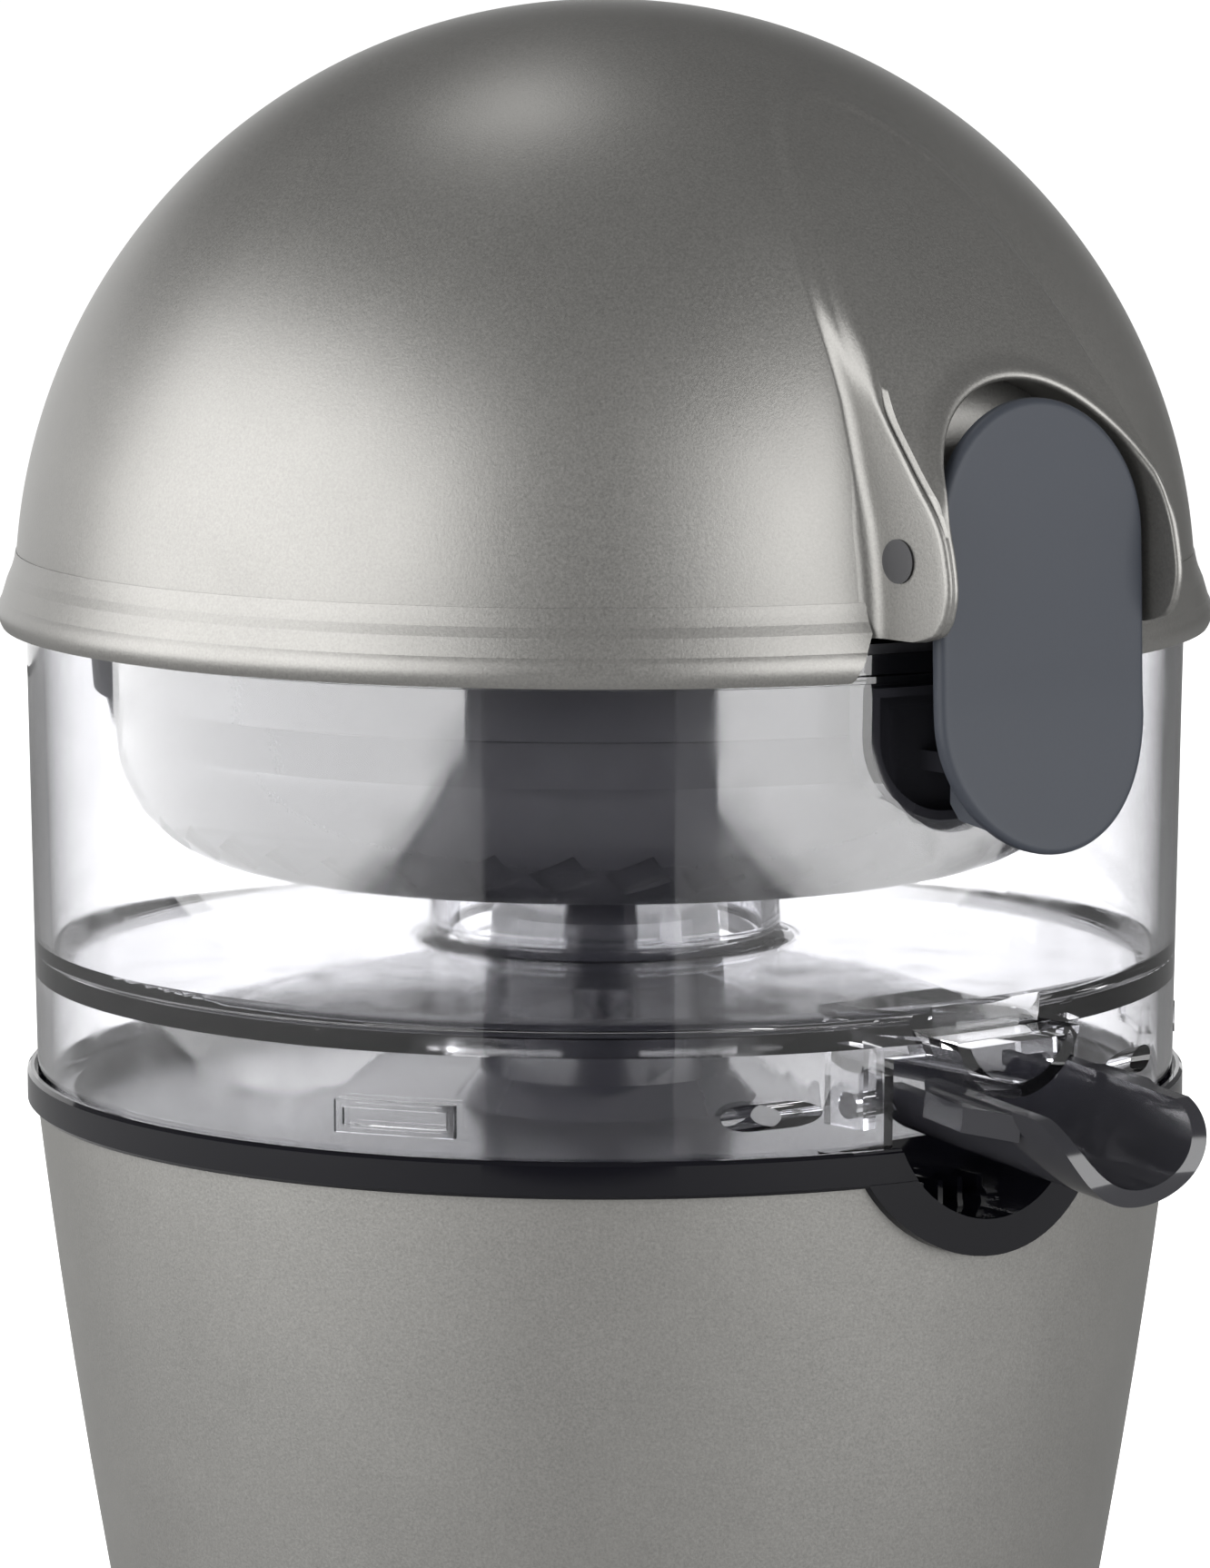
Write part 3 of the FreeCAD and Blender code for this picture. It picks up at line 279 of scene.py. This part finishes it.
def bump(start, height, strength, depth):
    return start.make("ShaderNodeBump", {}, {"Height": height, "Strength": strength, "Distance": depth})


def finish(start, sockets):
    skin = start.make("ShaderNodeBsdfPrincipled", {}, sockets)
    start.make("ShaderNodeOutputMaterial", {}, {"Surface": skin})


def rgba(colour, factor=1.0):
    return (colour[0] * factor, colour[1] * factor, colour[2] * factor, 1.0)


def satinPaint(name, v):
    # metallic flakes in a satin binder: each flake tips the light a little
    made, start = newMaterial(name)
    at = place(start)
    flake = noise(start, at, v["flake"], 2.0, 0.7)
    cloud = noise(start, at, 0.018, 2.0)
    tone = flake * 0.8 + cloud * 0.2
    colour = blendColour(start, tone, rgba(v["colour"], 0.62), rgba(v["colour"], 1.38))
    finish(start, {
        "Base Color": colour,
        "Metallic": 0.82,
        "Roughness": v["rough"] + (flake - 0.5) * 0.16,
        "Normal": bump(start, flake, v["grain"], 0.00012),
    })
    return made


def mouldedPlastic(name, v):
    # moulded surface with a fine spark-eroded grain and slight handling sheen
    made, start = newMaterial(name)
    at = place(start)
    grain = noise(start, at, v["grain"], 3.0, 0.6)
    wear = noise(start, at, 0.03, 3.0)
    colour = blendColour(start, grain * 0.5 + wear * 0.5, rgba(v["colour"], 0.85), rgba(v["colour"], 1.15))
    finish(start, {
        "Base Color": colour,
        "Roughness": v["rough"] + (wear - 0.5) * v["smudge"],
        "Specular IOR Level": v.get("shine", 0.5),
        "Normal": bump(start, grain, v["relief"], 0.0001),
    })
    return made


def clearPlastic(name, v):
    # polished clear styrene: faint scuffs, and light passes straight on to what it shades
    made, start = newMaterial(name)
    at = place(start)
    scuff = noise(start, at, 0.012, 4.0)
    flow = noise(start, at, 0.05, 1.0)
    skin = start.make("ShaderNodeBsdfPrincipled", {}, {
        "Base Color": rgba(v["colour"]),
        "Transmission Weight": 1.0,
        "IOR": v["ior"],
        "Roughness": 0.004 + (scuff ** 3.0) * v["scuff"],
        "Normal": bump(start, flow, 0.05, 0.0006),
    })
    through = start.make("ShaderNodeBsdfTransparent", {}, {"Color": rgba(v["colour"])})
    shadow = start.make("ShaderNodeLightPath", out="Is Shadow Ray")
    both = start.make("ShaderNodeMixShader", {}, {0: shadow, 1: skin, 2: through})
    start.make("ShaderNodeOutputMaterial", {}, {"Surface": both})
    return made


def bareMetal(name, v):
    # drawn or ground metal: fine lines along one axis, with dull patches
    made, start = newMaterial(name)
    lines = noise(start, place(start, v["lines"]), v["grain"], 3.0, 0.6)
    dull = noise(start, place(start), 0.01, 3.0)
    colour = blendColour(start, dull * 0.6 + lines * 0.4, rgba(v["colour"], 0.8), rgba(v["colour"], 1.12))
    finish(start, {
        "Base Color": colour,
        "Metallic": 1.0,
        "Roughness": v["rough"] + (lines - 0.5) * 0.2 + (dull - 0.5) * 0.12,
        "Normal": bump(start, lines, 0.12, 0.00005),
    })
    return made


def layeredSteel(name, v):
    # stacked sheets: narrow dark lines across Z
    made, start = newMaterial(name)
    sockets = {"Vector": place(start), "Scale": v["sheets"], "Distortion": 0.2}
    bands = start.make("ShaderNodeTexWave", {"bands_direction": "Z"}, sockets)
    finish(start, {
        "Base Color": blendColour(start, bands, rgba(v["colour"], 0.55), rgba(v["colour"], 1.1)),
        "Metallic": 0.9,
        "Roughness": v["rough"] + bands * 0.12,
        "Normal": bump(start, bands, 0.3, 0.0001),
    })
    return made


def copperBars(name, v):
    # bars side by side, worn in bands round the barrel
    made, start = newMaterial(name)
    sockets = {"Vector": place(start), "Scale": v["bars"], "Distortion": 0.0}
    bars = start.make("ShaderNodeTexWave", {"bands_direction": "X"}, sockets)
    worn = noise(start, place(start, (1, 1, 12)), 0.002, 3.0)
    colour = blendColour(start, bars * 0.4 + worn * 0.6, rgba(v["colour"], 0.5), rgba(v["colour"], 1.1))
    finish(start, {"Base Color": colour, "Metallic": 1.0, "Roughness": v["rough"] + worn * 0.2})
    return made


def circuitBoard(name, v):
    # lacquered board with darker tracks
    made, start = newMaterial(name)
    at = place(start)
    track = start.make("ShaderNodeTexBrick", {"offset": 0.37}, {
        "Vector": at,
        "Scale": v["tracks"],
        "Mortar Size": 0.06,
        "Color1": (1, 1, 1, 1),
        "Color2": (0.7, 0.7, 0.7, 1),
        "Mortar": (0, 0, 0, 1),
    }, out=1)
    finish(start, {
        "Base Color": blendColour(start, track, rgba(v["colour"]), rgba(v["colour"], 1.9)),
        "Roughness": v["rough"] + noise(start, at, 0.004) * 0.15,
        "Normal": bump(start, track, 0.2, 0.0001),
    })
    return made


# each slot's maker and values: colours are linear, lengths in metres
titanium = (0.168, 0.165, 0.157)
finishes = {
    # the body wears the lid's paint, set about a fifth lighter here: painted light that brightens the body
    "body_paint": (satinPaint, {
        "colour": (0.208, 0.205, 0.195), "rough": 0.44, "flake": 0.00042, "grain": 0.22}),
    "lid_paint": (satinPaint, {"colour": titanium, "rough": 0.40, "flake": 0.00042, "grain": 0.20}),
    "rim_paint": (satinPaint, {"colour": titanium, "rough": 0.38, "flake": 0.00042, "grain": 0.20}),
    "clear_bowl": (clearPlastic, {"colour": (0.965, 0.965, 0.985), "ior": 1.56, "scuff": 0.25}),
    "gloss_black": (mouldedPlastic, {
        "colour": (0.002, 0.002, 0.003), "rough": 0.06, "smudge": 0.05, "grain": 0.004, "relief": 0.01,
        "shine": 0.33}),
    "seat_black": (mouldedPlastic, {
        "colour": (0.010, 0.010, 0.012), "rough": 0.08, "smudge": 0.06, "grain": 0.004, "relief": 0.01}),
    "spout_black": (mouldedPlastic, {
        "colour": (0.012, 0.012, 0.014), "rough": 0.09, "smudge": 0.07, "grain": 0.004, "relief": 0.012}),
    "deck_black": (mouldedPlastic, {
        "colour": (0.020, 0.020, 0.023), "rough": 0.22, "smudge": 0.10, "grain": 0.0006, "relief": 0.05}),
    "reamer_black": (mouldedPlastic, {
        "colour": (0.016, 0.016, 0.018), "rough": 0.20, "smudge": 0.10, "grain": 0.0008, "relief": 0.04}),
    "cup_black": (mouldedPlastic, {
        "colour": (0.018, 0.018, 0.020), "rough": 0.28, "smudge": 0.10, "grain": 0.0007, "relief": 0.05}),
    "strainer_grey": (mouldedPlastic, {
        "colour": (0.018, 0.018, 0.020), "rough": 0.16, "smudge": 0.10, "grain": 0.0006, "relief": 0.05}),
    "latch_slate": (mouldedPlastic, {
        "colour": (0.019, 0.0215, 0.027), "rough": 0.44, "smudge": 0.08, "grain": 0.0004, "relief": 0.06,
        "shine": 0.16}),
    "liner_grey": (mouldedPlastic, {
        "colour": (0.16, 0.16, 0.165), "rough": 0.50, "smudge": 0.10, "grain": 0.0005, "relief": 0.10}),
    "hinge_black": (mouldedPlastic, {
        "colour": (0.022, 0.022, 0.025), "rough": 0.48, "smudge": 0.10, "grain": 0.0004, "relief": 0.16}),
    "moulded_dark": (mouldedPlastic, {
        "colour": (0.030, 0.030, 0.033), "rough": 0.55, "smudge": 0.10, "grain": 0.0005, "relief": 0.18}),
    "rocker_black": (mouldedPlastic, {
        "colour": (0.015, 0.015, 0.017), "rough": 0.18, "smudge": 0.08, "grain": 0.0008, "relief": 0.03}),
    "rubber_black": (mouldedPlastic, {
        "colour": (0.020, 0.020, 0.020), "rough": 0.78, "smudge": 0.12, "grain": 0.0009, "relief": 0.25,
        "shine": 0.3}),
    "gear_housing": (mouldedPlastic, {
        "colour": (0.62, 0.61, 0.57), "rough": 0.5, "smudge": 0.10, "grain": 0.0006, "relief": 0.10}),
    "gear_nylon": (mouldedPlastic, {
        "colour": (0.74, 0.72, 0.64), "rough": 0.42, "smudge": 0.12, "grain": 0.0007, "relief": 0.08}),
    "brush_carbon": (mouldedPlastic, {
        "colour": (0.035, 0.035, 0.036), "rough": 0.62, "smudge": 0.10, "grain": 0.0003, "relief": 0.2}),
    "ferrite": (mouldedPlastic, {
        "colour": (0.055, 0.055, 0.058), "rough": 0.6, "smudge": 0.15, "grain": 0.0004, "relief": 0.25}),
    "pin_dark": (bareMetal, {
        "colour": (0.075, 0.075, 0.078), "rough": 0.42, "grain": 0.0005, "lines": (1, 1, 1)}),
    "ground_steel": (bareMetal, {
        "colour": (0.60, 0.60, 0.61), "rough": 0.26, "grain": 0.0005, "lines": (1, 1, 8)}),
    "spring_steel": (bareMetal, {
        "colour": (0.50, 0.50, 0.51), "rough": 0.30, "grain": 0.0004, "lines": (1, 1, 4)}),
    "screw_steel": (bareMetal, {
        "colour": (0.55, 0.54, 0.50), "rough": 0.34, "grain": 0.0004, "lines": (3, 3, 1)}),
    "chassis_steel": (bareMetal, {
        "colour": (0.52, 0.53, 0.54), "rough": 0.40, "grain": 0.0012, "lines": (4, 1, 1)}),
    "motor_steel": (bareMetal, {
        "colour": (0.45, 0.45, 0.46), "rough": 0.36, "grain": 0.0006, "lines": (1, 1, 7)}),
    "sintered_bronze": (bareMetal, {
        "colour": (0.55, 0.38, 0.20), "rough": 0.46, "grain": 0.0003, "lines": (1, 1, 1)}),
    "core_steel": (layeredSteel, {"colour": (0.30, 0.29, 0.28), "rough": 0.42, "sheets": 320.0}),
    "commutator_copper": (copperBars, {"colour": (0.70, 0.38, 0.22), "rough": 0.3, "bars": 120.0}),
    "circuit_board": (circuitBoard, {"colour": (0.02, 0.12, 0.05), "rough": 0.3, "tracks": 90.0}),
}
materials = {slot: make(slot, v) for slot, (make, v) in finishes.items()}
for name, node in nodes.items():
    for holder in node.material_slots:
        holder.material = materials[slotOf[name]]
print("finishes made,", len(materials))


def softCurve(knots, at):
    # a smooth line through the knots: each span is a cubic whose slopes are those of its neighbours
    x = np.array([k[0] for k in knots], float)
    y = np.array([k[1] for k in knots], float)
    slope = np.gradient(y, x)
    i = np.clip(np.searchsorted(x, at) - 1, 0, len(x) - 2)
    span = x[i + 1] - x[i]
    t = np.clip((at - x[i]) / span, 0, 1)
    return ((2 * t**3 - 3 * t**2 + 1) * y[i] + (t**3 - 2 * t**2 + t) * span * slope[i]
            + (3 * t**2 - 2 * t**3) * y[i + 1] + (t**3 - t**2) * span * slope[i + 1])


def gridFaces(rows, columns, wrapRows, wrapColumns):
    # four-sided faces between neighbouring rows and columns of a grid of points
    index = np.arange(rows * columns).reshape(rows, columns)
    if wrapRows:
        index = np.vstack([index, index[:1]])
    if wrapColumns:
        index = np.hstack([index, index[:, :1]])
    corners = [index[:-1, :-1], index[1:, :-1], index[1:, 1:], index[:-1, 1:]]
    return np.stack(corners, axis=-1).reshape(-1, 4)


def solidFrom(name, grids, body, slot, replaced, sharp=35.0, ends=False):
    # closed mesh from point grids in millimetres, each with its two wrap flags
    points = []
    faces = []
    count = 0
    for grid, wrapRows, wrapColumns in grids:
        rows, columns = grid.shape[:2]
        points.append(grid.reshape(-1, 3) * 0.001)
        faces.append(gridFaces(rows, columns, wrapRows, wrapColumns) + count)
        count += rows * columns
    mesh = bpy.data.meshes.new(name)
    mesh.from_pydata(np.vstack(points).tolist(), [], np.vstack(faces).tolist())
    work = bmesh.new()
    work.from_mesh(mesh)
    bmesh.ops.remove_doubles(work, verts=work.verts, dist=1e-7)
    bmesh.ops.dissolve_degenerate(work, edges=work.edges, dist=1e-7)
    if ends:
        bmesh.ops.holes_fill(work, edges=[e for e in work.edges if e.is_boundary], sides=0)
    bmesh.ops.recalc_face_normals(work, faces=work.faces)
    work.to_mesh(mesh)
    work.free()
    mesh.polygons.foreach_set("use_smooth", np.ones(len(mesh.polygons), bool))
    mesh.set_sharp_from_angle(angle=math.radians(sharp))
    mesh.materials.append(materials[slot])
    made = bpy.data.objects.new(name, mesh)
    bpy.context.scene.collection.objects.link(made)
    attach(made, body)
    if replaced:
        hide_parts(*replaced)
    return made


def lathe(profile, steps):
    # a profile of (radius, height) carried round the vertical axis
    turn = np.linspace(0, 2 * math.pi, steps, endpoint=False)
    r = profile[:, :1]
    return np.stack([r * np.sin(turn), -r * np.cos(turn), profile[:, 1:] + 0 * turn], axis=-1)


lid = {
    "radius": 93.1,
    "centre": 214.9,
    "low": 216.8,
    "wall": 2.4,
    "pocketWide": 22.0,    # opening for the latch: half its width, and the top of its arch
    "pocketTop": 253.5,
    "outline": [(24.0, 216.8), (24.0, 226), (24.0, 235), (23.9, 243), (23.5, 250), (22.8, 257), (21.8, 264),
                (20.4, 269.5), (18.6, 274.4), (15.8, 280), (12.7, 284.7), (9.8, 288), (6.3, 291),
                (3.0, 292.8), (0.0, 293.4)],    # half-width of the hood, and the height it is at
    "cheek": [(216.8, 9.0), (217.6, 12.2), (219.2, 14.2), (222, 15.6), (229, 16.2), (236.7, 14.9), (243, 12.0),
              (249, 9.2), (256, 6.6), (262, 4.8), (268, 3.3), (274, 2.2), (280, 1.4), (286, 0.7),
              (290, 0.3), (293.4, 0.05)],       # how far the hood's side stands out of the ball at each height
    "crown": [(216.8, 4.0), (250, 4.0), (262, 3.6), (272.7, 2.4), (280, 1.3), (286, 0.5), (293.4, 0.0)],
    "edge": 2.3,           # round of the front edge
    "foot": 2.4,           # fillet where the side meets the ball
    "soft": 5.5,           # spread of the side where it is low and gentle
    "lip": 0.9,            # round of the opening's edge
    "roll": 1.0,           # height of the bead round the opening
    "rollAt": 1.5,
    "rollSpread": 1.35,
    "steepFrom": 4.0,      # below this height of side it is wholly gentle
    "steepSpan": 5.0,
}


def lidBall(v):
    # ball shell: outer arc from the lower edge to the crown, then the inner arc back down
    low = math.asin((v["low"] - v["centre"]) / v["radius"])
    up = np.linspace(low, math.pi / 2, 90)
    outer = np.stack([v["radius"] * np.cos(up), v["centre"] + v["radius"] * np.sin(up)], axis=-1)
    inside = v["radius"] - v["wall"]
    down = np.linspace(math.pi / 2, math.asin((v["low"] - v["centre"]) / inside), 40)
    inner = np.stack([inside * np.cos(down), v["centre"] + inside * np.sin(down)], axis=-1)
    return lathe(np.vstack([outer, inner]), 256)


def ballDepth(v, x, z):
    # how far in front of the axis the ball's skin lies at this place across and up
    return np.sqrt(np.maximum(v["radius"] ** 2 - (z - v["centre"]) ** 2 - x**2, 0))


def hoodDepth(v, x, z):
    # the hood's face: the ball's depth at its edge, plus the cheek, plus a low crown across
    half = softCurve([(z0, w) for w, z0 in v["outline"]], z)
    share = np.clip(np.abs(x) / np.maximum(half, 0.5), 0, 1)
    return ballDepth(v, half, z) + softCurve(v["cheek"], z) + softCurve(v["crown"], z) * (1 - share**2)


def hoodLines(v):
    # matching points of the latch opening and of the hood's outer edge,
    # from low left over the top to low right
    centre = v["pocketTop"] - v["pocketWide"]
    rise = v["low"] + (centre - v["low"]) * np.linspace(0, 1, 26)[:-1]
    turn = np.linspace(0, math.pi / 2, 90)
    wide = v["pocketWide"]
    inner = np.vstack([np.stack([0 * rise - wide, rise], -1),
                       np.stack([-wide * np.cos(turn), centre + wide * np.sin(turn)], -1)])
    edge = np.array(v["outline"])
    length = np.concatenate([[0], np.cumsum(np.hypot(*np.diff(edge, axis=0).T))])
    start = np.interp(centre, edge[:, 1], length)
    arch = start + (length[-1] - start) * turn / (math.pi / 2)
    along = np.concatenate([np.interp(rise, edge[:, 1], length), arch])
    halfWidth = softCurve(list(zip(length, edge[:, 0])), along)
    height = softCurve(list(zip(length, edge[:, 1])), along)
    outer = np.stack([-halfWidth, height], -1)
    flip = np.array([-1, 1])
    return np.vstack([inner, inner[-2::-1] * flip]), np.vstack([outer, outer[-2::-1] * flip])


def lidHood(v):
    # section from the opening outwards: wall, rolled lip, face, rounded edge, side,
    # fillet into the ball, and back inside
    inner, outer = hoodLines(v)
    across = outer - inner
    width = np.hypot(across[:, 0], across[:, 1])[:, None]
    step = across / width
    half = np.interp(outer[:, 1], [z for _, z in v["outline"]], [w for w, _ in v["outline"]])[:, None]
    tall = softCurve(v["cheek"], outer[:, 1])[:, None]
    lip = np.minimum(v["lip"], width * 0.42)
    edge = np.minimum(np.minimum(v["edge"], width * 0.5), tall * 0.5)
    foot = np.minimum(v["foot"], tall * 0.45)

    def plan(q):
        return inner[:, None, 0] + step[:, None, 0] * q, inner[:, None, 1] + step[:, None, 1] * q

    def face(q):
        x, z = plan(q)
        return hoodDepth(v, x, z)

    def ball(q):
        x, z = plan(q)
        return ballDepth(v, x, z)

    roll = v["roll"] * np.clip((width - 2.0) / 6.0, 0.25, 1)
    wall = np.linspace(0, 1, 6)[:-1]
    quarter = np.linspace(0, math.pi / 2, 9)
    inside = 0 * width + 0 * wall
    wallDepth = ball(inside) - 0.6 + (face(inside) + 0.2 * roll - lip - ball(inside) + 0.6) * wall
    lipAt = lip * (1 - np.cos(quarter))
    lipDepth = face(lipAt) - lip + lip * np.sin(quarter)
    share = np.linspace(0, 1, 30)[1:] ** 1.25
    edgeAt = width - edge + edge * np.sin(quarter[1:])
    edgeDepth = face(width + 0 * quarter[1:]) - edge + edge * np.cos(quarter[1:])
    drop = np.linspace(0, 1, 10)[1:]
    cheekAt = width + 0 * drop
    top = face(width) - edge
    cheekDepth = top + (ball(width) + foot - top) * drop
    footAt = width + foot * (1 - np.cos(quarter[1:]))
    footDepth = ball(footAt) + foot * (1 - np.sin(quarter[1:])) - 0.02
    steepAt = np.hstack([edgeAt, cheekAt, footAt])
    steepDepth = np.hstack([edgeDepth, cheekDepth, footDepth])
    run = np.linspace(0, 1, steepAt.shape[1] + 1)[1:]
    spread = np.minimum(v["soft"], width * 0.5)
    gentleAt = width - spread + (spread + v["soft"]) * run
    fade = run * run * run * (run * (6 * run - 15) + 10)
    gentleDepth = (1 - fade) * face(np.minimum(gentleAt, width)) + fade * (ball(gentleAt) - 0.02)
    steep = np.clip((tall - v["steepFrom"]) / v["steepSpan"], 0, 1)
    steep = steep * steep * (3 - 2 * steep)
    faceEnd = (width - edge) * steep + (width - spread) * (1 - steep)
    faceAt = lip + (faceEnd - lip) * share
    faceDepth = face(faceAt)
    sideAt = steepAt * steep + gentleAt * (1 - steep)
    sideDepth = steepDepth * steep + gentleDepth * (1 - steep)
    last = sideAt[:, -1:]
    backAt = np.hstack([last + 0.5, last + 0.3, 0 * width])
    backDepth = ball(backAt) - np.array([0.12, 1.2, 1.2])
    at = np.hstack([inside, lipAt, faceAt, sideAt, backAt])
    deep = np.hstack([wallDepth, lipDepth, faceDepth, sideDepth, backDepth])
    bead = roll * np.exp(-(((at - v["rollAt"]) / v["rollSpread"]) ** 2)) * (deep > ball(at) + 1.5)
    x, z = plan(at)
    z = np.maximum(z, v["low"])
    return np.stack([x, -(deep + bead), z], axis=-1)


lidGrids = [(lidBall(lid), False, True), (lidHood(lid), False, True)]
solidFrom("domeSkin", lidGrids, "dome", "lid_paint", ["dome_shell"], sharp=50.0, ends=True)
print("lid skin made")

lever = {
    "half": 20.6,
    "low": 184.1,
    "high": 251.2,
    "thick": 2.4,
    "edge": 1.2,           # round of the face's edge
    "backEdge": 0.5,
    "face": [(184.1, 105.2), (187.5, 104.4), (192, 103.3), (198, 102.1), (205, 101.3), (214, 101.0),
             (226, 100.7), (238, 100.1), (246, 99.3), (251.2, 98.7)],    # each height, and how far forward
    "pin": (95.2, 228.4),
    "eye": 3.6,            # radius of the lugs round the pin, and where they start and end across
    "eyeFrom": 13.5,
    "eyeTo": 20.3,
    "root": [(99.0, 222.4), (98.8, 234.4)],      # where the lugs run into the plate
    "hook": [(99.6, 204.2), (96.0, 204.2), (97.6, 199.6), (97.2, 196.4), (94.6, 195.5), (94.6, 191.8),
             (96.6, 189.5), (102.6, 188.6)],
    "hookHalf": 13.0,
}


def leverPlate(v):
    # rings drawn in from an outline with straight sides and round ends:
    # the face from its middle line outwards, the round edge, then the back
    mid = (v["low"] + v["half"], v["high"] - v["half"])
    straight = np.linspace(mid[0], mid[1], 40)
    turn = np.linspace(0, math.pi, 60)[1:-1]
    side = np.stack([0 * straight + 1, 0 * straight], -1)
    end = np.stack([np.cos(turn), np.sin(turn)], -1)
    way = np.vstack([side, end, -side, -end])
    core = np.concatenate([straight, 0 * turn + mid[1], straight[::-1], 0 * turn + mid[0]])
    edge = v["edge"]
    rear = v["backEdge"]
    quarter = np.linspace(0, math.pi / 2, 9)[1:]
    flat = np.linspace(0, v["half"] - edge, 26)
    reach = np.concatenate([flat, v["half"] - edge + edge * np.sin(quarter),
                            v["half"] - rear + rear * np.cos(quarter), flat[::-1][1:]])
    back = np.concatenate([0 * flat, edge - edge * np.cos(quarter),
                           v["thick"] - rear + rear * np.sin(quarter), 0 * flat[1:] + v["thick"]])
    x = reach[:, None] * way[:, 0]
    z = core + reach[:, None] * way[:, 1]
    return np.stack([x, back[:, None] - softCurve(v["face"], z), z], axis=-1)


def prism(outline, low, high):
    # an outline of (forward, height) points carried across from one side to the other
    side = np.array(outline)
    across = np.array([low, high])[:, None] + 0 * side[:, 0]
    return np.stack([across, -side[:, 0] + 0 * across, side[:, 1] + 0 * across], axis=-1)


def leverEye(v):
    # lug round the pin, running out into the plate
    y, z = v["pin"]
    turn = np.linspace(-math.pi / 2, math.pi / 2, 25)
    rear = np.stack([y - v["eye"] * np.cos(turn), z - v["eye"] * np.sin(turn)], -1)
    return np.vstack([rear, v["root"]])


leverGrids = [
    (leverPlate(lever), False, True),
    (prism(lever["hook"], -lever["hookHalf"], lever["hookHalf"]), False, True),
    (prism(leverEye(lever), -lever["eyeTo"], -lever["eyeFrom"]), False, True),
    (prism(leverEye(lever), lever["eyeFrom"], lever["eyeTo"]), False, True),
]
solidFrom("latchSkin", leverGrids, "latch", "latch_slate", ["latch_lever"], ends=True)
print("latch skin made")
